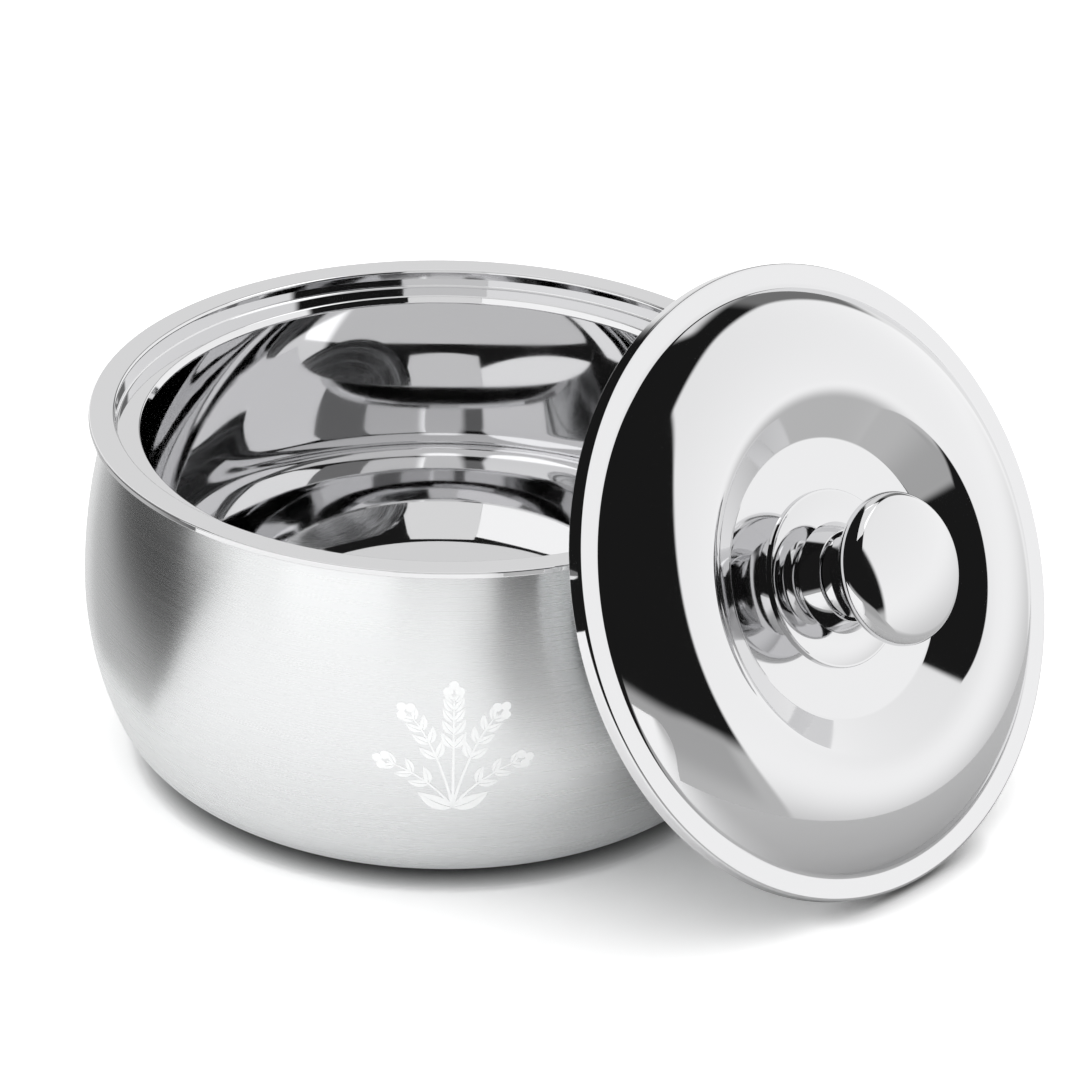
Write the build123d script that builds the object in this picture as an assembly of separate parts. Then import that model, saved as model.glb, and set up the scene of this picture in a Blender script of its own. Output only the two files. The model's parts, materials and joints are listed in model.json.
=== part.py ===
"""Insulated steel casserole for flatbreads: a double-walled belly bowl and its loose, knobbed lid.

The bowl stands on the origin with +Z up.  Every piece is a body of revolution about the bowl's axis
or the lid's axis.  The lid's pieces are modelled about +Z with the lid's flange at z = 0, and one
location then leans the whole lid against the bowl's rim.
"""

import os
from math import asin, atan2, cos, degrees, hypot, radians, sin, sqrt, tan

from build123d import *

# ---------------------------------------------------------------- driving dimensions, millimetres

SHEET = 0.7  # wall of every pressed steel piece
FOAM_CLEARANCE = 0.15  # between the foam and the steel around it
HEM_CLEARANCE = 0.1  # between a folded edge and the sheet that it grips
NECK_CLEARANCE = 1.2  # between the shell's neck and the inner bowl

# Bowl, outside
RIM_RADIUS = 111.0
RIM_HEIGHT = 116.5
BELLY_OVERHANG = 2.0  # belly beyond the rim
BELLY_HEIGHT = 59.5
BELLY_CORNER_RADIUS = 30.0
NECK_DEPTH = 4.4  # below the rim
NECK_FILLET = 1.6
FOOT_INSET = 36.0  # edge of the foot inside the belly's widest ring
FOOT_WIDTH = 7.5

# Bowl, mouth and inside
RING_WIDTH = 8.3  # flat ring round the mouth, with its rounded inner edge
RING_FILLET = 1.0
LIP_RETURN = 3.6  # folded edge under the ring
LIP_CORNER = 0.5
SEAT_DEPTH = 5.7  # ledge that carries the lid, below the ring
SEAT_DRAFT = 0.2  # the wall from the ring down to the ledge leans in by this
SEAT_WIDTH = 7.3
SEAT_FILLET = 0.7
THROAT_DRAFT = 1.2  # the throat leans in by this below the ledge
THROAT_DEPTH = 2.0  # below the ledge
WALL_GAP = 9.0  # between the inner bowl's widest ring and the belly's outer face
INNER_HEIGHT = 60.0
INNER_CORNER_RADIUS = 28.0
INNER_FLOOR_INSET = 34.0  # edge of the flat floor inside the inner bowl's widest ring
INNER_FLOOR_HEIGHT = 12.5

# Base
BASE_RECESS = 2.5  # underside of the shell's inner flange above the ground
BASE_FLANGE_WIDTH = 6.0
BASE_PLATE_CLEARANCE = 0.4
BASE_DISH_RADIUS = 44.0
BASE_DISH_DEPTH = 1.4
BASE_DISH_SLOPE = 3.0
PLUG_SHANK_RADIUS = 5.0
PLUG_SHANK_LENGTH = 5.0
PLUG_HEAD_RADIUS = 8.0
PLUG_HEAD_THICKNESS = 1.4
PLUG_CLEARANCE = 0.05

# Lid
LID_PLAY = 4.5  # between the skirt and the wall round the ledge
SKIRT_DEPTH = 5.0
FLANGE_WIDTH = 7.4
FLANGE_RISE = 0.2  # the flange climbs this much to the dome
DOME_FILLET = 2.2
DOME_WIDTH = 30.4  # from the flange in to the ring where the dome is highest
CROWN_HEIGHT = 15.8
CROWN_ROLL = 10.0  # roll from the crown into the well
WELL_WALL_WIDTH = 17.0  # from that ring in to the flat floor round the knob
WELL_HEIGHT = 6.0
WELL_FILLET = 1.5
SKIRT_CORNER = 1.0
SKIRT_HEM = 3.4
LINER_PLAY = 2.0  # between the lid's inner pan and the throat that it drops into
LINER_DEPTH = 6.6  # below the flange
LINER_FILLET = 1.6
PANEL_INSET = 11.0  # from the pan's edge in to the panel raised in its middle
PANEL_SLOPE = 3.0  # width of the slope round that panel
PANEL_DEPTH = 1.2  # below the flange
PANEL_FILLET = 1.0
LINER_BEAD_INSET = 14.0  # from the panel's edge in to the bead pressed in it
LINER_BEAD_SIZE = 1.2

# Knob
COLLAR_RADIUS = 27.5
COLLAR_EDGE = 1.2
COLLAR_BEAD = 0.8  # step between the collar's edge and its dome
COLLAR_HEIGHT = 2.6  # above the floor of the well
COLLAR_WALL = 1.0
STEM_FOOT_RADIUS = 17.2
STEM_FOOT_HEIGHT = 5.6
STEM_FOOT_TAPER = 3.0
STEM_STEP = 1.4
STEM_WAIST_RADIUS = 10.8
STEM_TOP_RADIUS = 15.0
STEM_HEIGHT = 21.2  # from the collar to the head
HEAD_RADIUS = 23.5
HEAD_CROWN = 9.0  # rise of the crown above the widest ring
HEAD_SHOULDER = 5.5  # arc between the widest ring and the crown's own arc
HEAD_UNDERCUT = 2.0  # the rim lies inside the widest ring by this
HEAD_RIM_LIFT = 0.8  # the rim above the seat on the stem
HEAD_RIM_DEPTH = 3.2  # from the rim up to the widest ring
HEAD_RIM_CORNER = 0.5

# Knob fastening
STUD_RADIUS = 2.5
STUD_CLEARANCE = 0.2
STUD_IN_HEAD = 9.0
BORE_CLEARANCE = 0.05
BACKING_RADIUS = 12.0
BACKING_THICKNESS = 1.0
LOCK_WASHER_RADIUS = 4.6
LOCK_WASHER_THICKNESS = 1.2
NUT_ACROSS_FLATS = 8.0
NUT_HEIGHT = 2.7
STUD_PAST_NUT = 0.5
FOAM_POCKET_CLEARANCE = 0.5

# How the lid leans on the bowl
LEAN_AZIMUTH = -43.0  # heading of the lid's outer face round the bowl, degrees from +X
LEAN_ELEVATION = 27.0  # how far that face looks up, degrees
LEAN_OFFSET = 35.7  # the lid stands this far to one side of the point that it leans on
LEAN_RIM_GAP = 0.3
LEAN_GROUND_GAP = 0.2

# ---------------------------------------------------------------- sizes worked out from those above

RING_INNER_RADIUS = RIM_RADIUS - RING_WIDTH
BELLY_RADIUS = RIM_RADIUS + BELLY_OVERHANG
FOOT_RADIUS = BELLY_RADIUS - FOOT_INSET
INNER_RADIUS = BELLY_RADIUS - WALL_GAP
INNER_FLOOR_RADIUS = INNER_RADIUS - INNER_FLOOR_INSET
NECK_RADIUS = RING_INNER_RADIUS + 2 * SHEET + NECK_CLEARANCE
SEAT_HEIGHT = RIM_HEIGHT - SEAT_DEPTH
SEAT_RADIUS = RING_INNER_RADIUS - SEAT_DRAFT
SEAT_INNER_RADIUS = SEAT_RADIUS - SEAT_WIDTH
THROAT_RADIUS = SEAT_INNER_RADIUS - THROAT_DRAFT
THROAT_HEIGHT = SEAT_HEIGHT - THROAT_DEPTH
BASE_FLANGE_RADIUS = FOOT_RADIUS - FOOT_WIDTH
LID_RADIUS = SEAT_RADIUS - LID_PLAY
DOME_RADIUS = LID_RADIUS - FLANGE_WIDTH
CROWN_RADIUS = DOME_RADIUS - DOME_WIDTH
WELL_RADIUS = CROWN_RADIUS - WELL_WALL_WIDTH
LINER_RADIUS = THROAT_RADIUS - LINER_PLAY
PANEL_RADIUS = LINER_RADIUS - PANEL_INSET
LINER_BEAD_RADIUS = PANEL_RADIUS - LINER_BEAD_INSET
COLLAR_TOP = WELL_HEIGHT + COLLAR_HEIGHT
HEAD_SEAT = COLLAR_TOP + STEM_HEIGHT
HEAD_RIM_HEIGHT = HEAD_SEAT + HEAD_RIM_LIFT


# ---------------------------------------------------------------- shared operations


def turned(profile):
    """Solid of revolution of a flat profile whose x is the radius and whose y is the height."""
    return revolve(Plane.XZ * profile, axis=Axis.Z)


def band(inner_radius, outer_radius, low, high):
    """Rectangular profile between two radii and two heights."""
    return Pos(inner_radius, low) * Rectangle(
        outer_radius - inner_radius, high - low, align=(Align.MIN, Align.MIN)
    )


def softened(profile, corners):
    """Profile with the corner nearest to each (radius, height) point rounded by its fillet radius."""
    for point, fillet_radius in corners:
        nearest = profile.vertices().sort_by_distance(Vector(*point))[0]
        profile = fillet(nearest, fillet_radius)
    return profile


def inset(profile, distance):
    """Profile drawn in by a distance on every side but the axis."""
    whole = profile + mirror(profile, about=Plane.YZ)
    return offset(whole, -distance, kind=Kind.INTERSECTION) & half_plane(-BELLY_RADIUS, 2 * BELLY_RADIUS)


def region(edges):
    """Flat profile that closes the given edges, drawn in order from the axis back to the axis."""
    return make_face(Wire(edges))


def belly_edges(radius, height, floor_radius, floor_height, corner_radius, neck):
    """Edges of a belly vessel from its axis to its neck: floor, corner, side and shoulder arcs.

    The side arc is tangent to the corner arc and upright at the belly's widest point, where the
    shoulder arc takes over and runs to the neck point.
    """
    overhang = radius - floor_radius
    rise = height - floor_height
    side_radius = (overhang**2 + rise**2 - 2 * rise * corner_radius) / (2 * (overhang - corner_radius))
    corner_centre = (floor_radius, floor_height + corner_radius)
    side_centre = (radius - side_radius, height)
    joint = degrees(atan2(corner_centre[1] - side_centre[1], corner_centre[0] - side_centre[0]))
    draw_in = radius - neck[0]
    climb = neck[1] - height
    shoulder_radius = (draw_in**2 + climb**2) / (2 * draw_in)
    shoulder_angle = degrees(asin(climb / shoulder_radius))
    return [
        Line((0, floor_height), (floor_radius, floor_height)),
        CenterArc(corner_centre, corner_radius, -90, 90 + joint),
        CenterArc(side_centre, side_radius, joint, -joint),
        CenterArc((radius - shoulder_radius, height), shoulder_radius, 0, shoulder_angle),
    ]


def half_plane(low, high):
    """Profile that covers every radius from the axis outwards between two heights."""
    return band(0, 2 * BELLY_RADIUS, low, high)


# ---------------------------------------------------------------- bowl


def shell_region():
    """Region inside the belly shell's outer face, from the ground to the underside of its flange."""
    neck = (NECK_RADIUS, RIM_HEIGHT - NECK_DEPTH)
    top = RIM_HEIGHT - SHEET
    edges = belly_edges(BELLY_RADIUS, BELLY_HEIGHT, FOOT_RADIUS, 0, BELLY_CORNER_RADIUS, neck)
    edges += [Line(neck, (NECK_RADIUS, top)), Line((NECK_RADIUS, top), (0, top)), Line((0, top), (0, 0))]
    return region(edges)


def cavity_region():
    """Region that the inner bowl holds, with its throat, its ledge and the wall up to the ring."""
    throat = (THROAT_RADIUS, THROAT_HEIGHT)
    steps = [
        throat,
        (SEAT_INNER_RADIUS, SEAT_HEIGHT),
        (SEAT_RADIUS, SEAT_HEIGHT),
        (RING_INNER_RADIUS, RIM_HEIGHT),
        (0, RIM_HEIGHT),
        (0, INNER_FLOOR_HEIGHT),
    ]
    edges = belly_edges(
        INNER_RADIUS, INNER_HEIGHT, INNER_FLOOR_RADIUS, INNER_FLOOR_HEIGHT, INNER_CORNER_RADIUS, throat
    )
    edges += [Line(start, end) for start, end in zip(steps, steps[1:])]
    return region(edges)


def outer_shell():
    """Belly shell: open below at the base plate, with a flange under the bowl's flat ring."""
    outside = shell_region()
    wall = outside - offset(outside, -SHEET, kind=Kind.INTERSECTION)
    wall &= band(BASE_FLANGE_RADIUS - SHEET, 2 * BELLY_RADIUS, 0, RIM_HEIGHT - SHEET)
    top_opening = half_plane(RIM_HEIGHT - 2 * SHEET, RIM_HEIGHT) - band(
        NECK_RADIUS - SHEET, 2 * BELLY_RADIUS, 0, RIM_HEIGHT
    )
    flange = band(
        NECK_RADIUS - SHEET, RIM_RADIUS - SHEET - HEM_CLEARANCE, RIM_HEIGHT - 2 * SHEET, RIM_HEIGHT - SHEET
    )
    base_wall = band(BASE_FLANGE_RADIUS - SHEET, BASE_FLANGE_RADIUS, 0, BASE_RECESS + SHEET)
    base_flange = band(
        BASE_FLANGE_RADIUS - BASE_FLANGE_WIDTH, BASE_FLANGE_RADIUS, BASE_RECESS, BASE_RECESS + SHEET
    )
    profile = wall - top_opening + flange + base_wall + base_flange
    profile = softened(
        profile,
        [
            ((NECK_RADIUS, RIM_HEIGHT - 2 * SHEET), NECK_FILLET),
            ((BASE_FLANGE_RADIUS - SHEET, 0), SHEET / 2),
        ],
    )
    return turned(profile)


def inner_bowl():
    """Inner bowl with the throat, the lid's ledge, the flat ring and the lip folded under it."""
    cavity = cavity_region()
    wall = offset(cavity, SHEET, kind=Kind.INTERSECTION) - cavity
    wall &= half_plane(0, RIM_HEIGHT)
    ring = band(RING_INNER_RADIUS, RIM_RADIUS, RIM_HEIGHT - SHEET, RIM_HEIGHT)
    lip = band(RIM_RADIUS - SHEET, RIM_RADIUS, RIM_HEIGHT - 3 * SHEET, RIM_HEIGHT)
    lip_return = band(
        RIM_RADIUS - LIP_RETURN, RIM_RADIUS, RIM_HEIGHT - 3 * SHEET, RIM_HEIGHT - 2 * SHEET
    )
    profile = softened(
        wall + ring + lip + lip_return,
        [
            ((RIM_RADIUS, RIM_HEIGHT), LIP_CORNER),
            ((RIM_RADIUS, RIM_HEIGHT - 3 * SHEET), LIP_CORNER),
            ((RING_INNER_RADIUS, RIM_HEIGHT), RING_FILLET),
            ((SEAT_RADIUS, SEAT_HEIGHT), SEAT_FILLET),
            ((SEAT_INNER_RADIUS, SEAT_HEIGHT), SEAT_FILLET),
            ((THROAT_RADIUS, THROAT_HEIGHT), SEAT_FILLET),
        ],
    )
    return turned(profile)


def body_insulation():
    """Foam that fills the bowl's double wall from the base plate to just under the ledge."""
    outside = inset(shell_region(), SHEET + FOAM_CLEARANCE)
    inside = offset(cavity_region(), SHEET + FOAM_CLEARANCE, kind=Kind.INTERSECTION)
    floor = BASE_RECESS + SHEET + BASE_DISH_DEPTH + FOAM_CLEARANCE
    foam = (outside - inside) & half_plane(SHEET, THROAT_HEIGHT)
    foam -= band(0, BASE_FLANGE_RADIUS + FOAM_CLEARANCE, 0, floor)
    foam -= band(0, PLUG_SHANK_RADIUS + FOAM_CLEARANCE, 0, plug_top() + FOAM_CLEARANCE)
    return turned(foam)


def plug_top():
    """Height of the top of the filling plug."""
    return BASE_RECESS + BASE_DISH_DEPTH + PLUG_SHANK_LENGTH


def base_plate():
    """Pressed disc under the shell's inner flange, dished up in the middle round the filling hole."""
    outer = BASE_FLANGE_RADIUS - SHEET - BASE_PLATE_CLEARANCE
    low = BASE_RECESS - SHEET
    dish = low + BASE_DISH_DEPTH
    hole = PLUG_SHANK_RADIUS + PLUG_CLEARANCE
    profile = Polyline(
        (hole, dish),
        (BASE_DISH_RADIUS - BASE_DISH_SLOPE, dish),
        (BASE_DISH_RADIUS, low),
        (outer, low),
        (outer, low + SHEET),
        (BASE_DISH_RADIUS, low + SHEET),
        (BASE_DISH_RADIUS - BASE_DISH_SLOPE, dish + SHEET),
        (hole, dish + SHEET),
        close=True,
    )
    return turned(make_face(profile))


def base_plug():
    """Plastic plug that closes the hole through which the foam was poured."""
    seat = BASE_RECESS - SHEET + BASE_DISH_DEPTH
    profile = band(0, PLUG_HEAD_RADIUS, seat - PLUG_HEAD_THICKNESS, seat)
    profile += band(0, PLUG_SHANK_RADIUS, seat, plug_top())
    corner = PLUG_HEAD_THICKNESS / 2
    profile = softened(profile, [((PLUG_HEAD_RADIUS, seat - PLUG_HEAD_THICKNESS), corner)])
    return turned(profile)


# ---------------------------------------------------------------- lid, with its flange at z = 0


def lid_region():
    """Region under the lid's outer face: floor of the well, cone, rolled crown, dome, flange, skirt."""
    well = (WELL_RADIUS, WELL_HEIGHT)
    roll_centre = (CROWN_RADIUS, CROWN_HEIGHT - CROWN_ROLL)
    reach = hypot(roll_centre[0] - well[0], roll_centre[1] - well[1])
    cone_angle = atan2(roll_centre[1] - well[1], roll_centre[0] - well[0]) + asin(CROWN_ROLL / reach)
    cone_length = sqrt(reach**2 - CROWN_ROLL**2)
    cone_top = (well[0] + cone_length * cos(cone_angle), well[1] + cone_length * sin(cone_angle))
    run = DOME_RADIUS - CROWN_RADIUS
    fall = CROWN_HEIGHT - FLANGE_RISE
    dome_curve = (run**2 + fall**2) / (2 * fall)
    dome_angle = degrees(asin(run / dome_curve))
    crease = (DOME_RADIUS, FLANGE_RISE)
    bottom = -2 * LINER_DEPTH
    edges = [
        Line((0, WELL_HEIGHT), well),
        Line(well, cone_top),
        CenterArc(roll_centre, CROWN_ROLL, 90 + degrees(cone_angle), -degrees(cone_angle)),
        CenterArc((CROWN_RADIUS, CROWN_HEIGHT - dome_curve), dome_curve, 90, -dome_angle),
        Line(crease, (LID_RADIUS, 0)),
        Line((LID_RADIUS, 0), (LID_RADIUS, bottom)),
        Line((LID_RADIUS, bottom), (0, bottom)),
        Line((0, bottom), (0, WELL_HEIGHT)),
    ]
    return softened(
        region(edges), [(crease, DOME_FILLET), (well, WELL_FILLET), ((LID_RADIUS, 0), SKIRT_CORNER)]
    )


def lid_dome():
    """Outer sheet of the lid, with its skirt folded in under the liner's flange."""
    outside = lid_region()
    wall = outside - offset(outside, -SHEET, kind=Kind.INTERSECTION)
    wall &= band(STUD_RADIUS + STUD_CLEARANCE, LID_RADIUS, -SKIRT_DEPTH, CROWN_HEIGHT)
    hem = band(LID_RADIUS - SKIRT_HEM, LID_RADIUS, -SKIRT_DEPTH, -SKIRT_DEPTH + SHEET)
    return turned(softened(wall + hem, [((LID_RADIUS, -SKIRT_DEPTH), LIP_CORNER)]))


def panel_step(low):
    """Upper or lower face of the raised panel and of the trough round it, the sheet above that face.

    The face on the far side of the sheet is moved out along the slope, so that the sheet is as thick
    there as it is on the flat.
    """
    slope = atan2(LINER_DEPTH - PANEL_DEPTH, PANEL_SLOPE)
    shift = low * tan(slope / 2)
    return [
        (0, low - PANEL_DEPTH),
        (PANEL_RADIUS + shift, low - PANEL_DEPTH),
        (PANEL_RADIUS + PANEL_SLOPE + shift, low - LINER_DEPTH),
    ]


def liner_bead(wall):
    """Half-round bead pressed up in the panel, a wall thickness larger than its groove."""
    return Pos(LINER_BEAD_RADIUS, -PANEL_DEPTH) * Circle(LINER_BEAD_SIZE + wall)


def lid_liner():
    """Inner pan of the lid: a flange in the dome's hem, a trough that drops into the throat, a panel."""
    flange_low = -SKIRT_DEPTH + SHEET
    flange_end = LID_RADIUS - SHEET - HEM_CLEARANCE
    wall = LINER_RADIUS - SHEET
    outline = panel_step(0) + [
        (LINER_RADIUS, -LINER_DEPTH),
        (LINER_RADIUS, flange_low),
        (flange_end, flange_low),
        (flange_end, flange_low + SHEET),
        (wall, flange_low + SHEET),
        (wall, -LINER_DEPTH + SHEET),
    ]
    outline += reversed(panel_step(SHEET))
    profile = make_face(Polyline(*outline, close=True))
    profile += liner_bead(SHEET) & half_plane(-PANEL_DEPTH, LINER_DEPTH)
    profile -= liner_bead(0)
    corners = [
        ((LINER_RADIUS, -LINER_DEPTH), LINER_FILLET),
        ((PANEL_RADIUS, -PANEL_DEPTH), PANEL_FILLET),
        ((PANEL_RADIUS + PANEL_SLOPE, -LINER_DEPTH), PANEL_FILLET),
    ]
    return turned(softened(profile, corners))


def lid_insulation():
    """Foam between the lid's sheets, poured round the knob's backing plate, washer and nut."""
    flange_top = -SKIRT_DEPTH + 2 * SHEET + FOAM_CLEARANCE
    wall = LINER_RADIUS - SHEET - FOAM_CLEARANCE
    trough = -LINER_DEPTH + SHEET + FOAM_CLEARANCE
    bottom = -2 * LINER_DEPTH
    below = [(0, bottom)] + panel_step(SHEET + FOAM_CLEARANCE)
    below += [(wall, trough), (wall, flange_top), (LID_RADIUS, flange_top), (LID_RADIUS, bottom)]
    foam = inset(lid_region(), SHEET + FOAM_CLEARANCE) - make_face(Polyline(*below, close=True))
    foam -= liner_bead(SHEET + FOAM_CLEARANCE)
    pocket = NUT_ACROSS_FLATS / sqrt(3) + FOAM_POCKET_CLEARANCE
    plate_pocket = BACKING_RADIUS + FOAM_POCKET_CLEARANCE
    backing_low = WELL_HEIGHT - SHEET - BACKING_THICKNESS - FOAM_CLEARANCE
    foam -= band(0, plate_pocket, backing_low, WELL_HEIGHT)
    foam -= band(0, pocket, -PANEL_DEPTH, WELL_HEIGHT)
    return turned(foam)


# ---------------------------------------------------------------- knob, on the lid's axis


def knob_collar():
    """Pressed collar on the floor of the well: an upright edge, a small bead and a low dome."""
    shoulder = COLLAR_RADIUS - COLLAR_BEAD
    edge = WELL_HEIGHT + COLLAR_EDGE
    outline = [
        Line((0, WELL_HEIGHT), (COLLAR_RADIUS, WELL_HEIGHT)),
        Line((COLLAR_RADIUS, WELL_HEIGHT), (COLLAR_RADIUS, edge)),
        Line((COLLAR_RADIUS, edge), (shoulder, edge)),
        JernArc((STEM_FOOT_RADIUS, COLLAR_TOP), (1, 0), *collar_dome(shoulder, edge)),
        Line((STEM_FOOT_RADIUS, COLLAR_TOP), (0, COLLAR_TOP)),
        Line((0, COLLAR_TOP), (0, WELL_HEIGHT)),
    ]
    outside = region(outline)
    hollow = offset(outside, -COLLAR_WALL, kind=Kind.INTERSECTION)
    hollow += band(0, COLLAR_RADIUS - COLLAR_WALL, WELL_HEIGHT, edge - COLLAR_WALL / 2)
    profile = (outside - hollow) & band(STUD_RADIUS + STUD_CLEARANCE, COLLAR_RADIUS, 0, COLLAR_TOP)
    return turned(softened(profile, [((COLLAR_RADIUS, edge), COLLAR_BEAD / 2)]))


def collar_dome(shoulder, edge):
    """Radius and signed sweep of the collar's dome arc, level at the stem and ending at the shoulder."""
    run = shoulder - STEM_FOOT_RADIUS
    fall = COLLAR_TOP - edge
    curve = (run**2 + fall**2) / (2 * fall)
    return curve, -degrees(asin(run / curve))


def knob_stem():
    """Turned stem: a tapered foot ring, a step, and a waist that flares out under the head."""
    shoulder = COLLAR_TOP + STEM_FOOT_HEIGHT
    shoulder_radius = STEM_FOOT_RADIUS - STEM_FOOT_TAPER
    neck_radius = shoulder_radius - STEM_STEP
    bore = STUD_RADIUS + STUD_CLEARANCE
    waist_height = (shoulder + HEAD_SEAT) / 2
    neck = (neck_radius, shoulder)
    top = (STEM_TOP_RADIUS, HEAD_SEAT)
    outline = [
        Line((bore, COLLAR_TOP), (STEM_FOOT_RADIUS, COLLAR_TOP)),
        Line((STEM_FOOT_RADIUS, COLLAR_TOP), (shoulder_radius, shoulder)),
        Line((shoulder_radius, shoulder), neck),
        ThreePointArc(neck, (STEM_WAIST_RADIUS, waist_height), top),
        Line(top, (bore, HEAD_SEAT)),
        Line((bore, HEAD_SEAT), (bore, COLLAR_TOP)),
    ]
    corner = ((shoulder_radius, shoulder), HEAD_RIM_CORNER)
    return turned(softened(region(outline), [corner]))


def knob_head():
    """Mushroom head: a low crown and its shoulder over an undercut rim, with a blind bore."""
    widest = HEAD_RIM_HEIGHT + HEAD_RIM_DEPTH
    rim = (HEAD_RADIUS - HEAD_UNDERCUT, HEAD_RIM_HEIGHT)
    side_curve = (HEAD_UNDERCUT**2 + HEAD_RIM_DEPTH**2) / (2 * HEAD_UNDERCUT)
    side_angle = degrees(asin(HEAD_RIM_DEPTH / side_curve))
    reach = HEAD_RADIUS - HEAD_SHOULDER
    crown_curve = (reach**2 + HEAD_CROWN**2 - HEAD_SHOULDER**2) / (2 * (HEAD_CROWN - HEAD_SHOULDER))
    crown_centre = widest + HEAD_CROWN - crown_curve
    joint = degrees(atan2(widest - crown_centre, reach))
    outline = [
        Line((0, HEAD_SEAT), (STEM_TOP_RADIUS, HEAD_SEAT)),
        Line((STEM_TOP_RADIUS, HEAD_SEAT), rim),
        CenterArc((HEAD_RADIUS - side_curve, widest), side_curve, -side_angle, side_angle),
        CenterArc((reach, widest), HEAD_SHOULDER, 0, joint),
        CenterArc((0, crown_centre), crown_curve, joint, 90 - joint),
        Line((0, widest + HEAD_CROWN), (0, HEAD_SEAT)),
    ]
    bore = band(0, STUD_RADIUS + BORE_CLEARANCE, HEAD_SEAT, HEAD_SEAT + STUD_IN_HEAD)
    return turned(softened(region(outline) - bore, [(rim, HEAD_RIM_CORNER)]))


def stud_bottom():
    """Height of the stud's lower end, just past the nut."""
    stack = SHEET + BACKING_THICKNESS + LOCK_WASHER_THICKNESS + NUT_HEIGHT + STUD_PAST_NUT
    return WELL_HEIGHT - stack


def knob_stud():
    """Stud that holds the head, stem and collar down on the lid."""
    return turned(band(0, STUD_RADIUS, stud_bottom(), HEAD_SEAT + STUD_IN_HEAD - BORE_CLEARANCE))


def knob_backing_plate():
    """Stiff disc under the floor of the well that spreads the knob's pull."""
    top = WELL_HEIGHT - SHEET
    return turned(band(STUD_RADIUS + STUD_CLEARANCE, BACKING_RADIUS, top - BACKING_THICKNESS, top))


def knob_lock_washer():
    """Split spring washer under the backing plate."""
    top = WELL_HEIGHT - SHEET - BACKING_THICKNESS
    washer = turned(
        band(STUD_RADIUS + STUD_CLEARANCE, LOCK_WASHER_RADIUS, top - LOCK_WASHER_THICKNESS, top)
    )
    split = Pos(LOCK_WASHER_RADIUS, 0, top) * Box(2 * LOCK_WASHER_RADIUS, SHEET, 4 * LOCK_WASHER_THICKNESS)
    return washer - split


def knob_nut():
    """Hexagon nut on the stud, with its upper and lower corners chamfered."""
    top = WELL_HEIGHT - SHEET - BACKING_THICKNESS - LOCK_WASHER_THICKNESS
    low = top - NUT_HEIGHT
    flat_radius = NUT_ACROSS_FLATS / 2
    corner_radius = NUT_ACROSS_FLATS / sqrt(3)
    hexagon = RegularPolygon(flat_radius, 6, major_radius=False) - Circle(STUD_RADIUS + BORE_CLEARANCE)
    blank = Pos(0, 0, low) * extrude(hexagon, NUT_HEIGHT)
    slope = (corner_radius - flat_radius) / 2
    envelope = Polyline(
        (0, low),
        (flat_radius, low),
        (corner_radius, low + slope),
        (corner_radius, top - slope),
        (flat_radius, top),
        (0, top),
        close=True,
    )
    return blank & turned(make_face(envelope))


# ---------------------------------------------------------------- the lean


def lid_location():
    """Place of the lid's flange: its skirt on the ground and its panel against the bowl's lip."""
    azimuth = radians(LEAN_AZIMUTH)
    lean = radians(LEAN_ELEVATION)
    height = LID_RADIUS * cos(lean) + SKIRT_DEPTH * sin(lean) + LEAN_GROUND_GAP
    contact = RIM_HEIGHT - LIP_CORNER
    reach = (contact - height) * sin(lean) + RIM_RADIUS * cos(lean) + PANEL_DEPTH + LEAN_RIM_GAP
    distance = reach / cos(lean)
    outward = Vector(cos(azimuth), sin(azimuth), 0)
    sideways = Vector(-sin(azimuth), cos(azimuth), 0)
    origin = outward * distance + sideways * LEAN_OFFSET + Vector(0, 0, height)
    facing = outward * cos(lean) + Vector(0, 0, sin(lean))
    return Plane(origin=origin, x_dir=sideways, z_dir=facing).location


BOWL_PIECES = [outer_shell, inner_bowl, body_insulation, base_plate, base_plug]
LID_PIECES = [
    lid_dome,
    lid_liner,
    lid_insulation,
    knob_collar,
    knob_stem,
    knob_head,
    knob_stud,
    knob_backing_plate,
    knob_lock_washer,
    knob_nut,
]

os.makedirs("parts", exist_ok=True)
for piece in BOWL_PIECES:
    export_step(piece(), f"parts/{piece.__name__}.step")
for piece in LID_PIECES:
    export_step(lid_location() * piece(), f"parts/{piece.__name__}.step")

lid_place = lid_location()
print("lid centre", lid_place.position, "lid axis", Plane(lid_place).z_dir)
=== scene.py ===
"""Looks of an insulated steel casserole and its loose lid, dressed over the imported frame.

Every visible piece but the etched sprig is a surface of revolution.  A profile of straight and round
stretches, each with its exact normals, is turned about the bowl's axis or the lid's axis.  Lengths are
in millimetres until a mesh is made, and angles are in degrees unless a line says radians.
"""

import json
import logging
import math
from dataclasses import dataclass, field
from enum import Enum
from typing import Any

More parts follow.
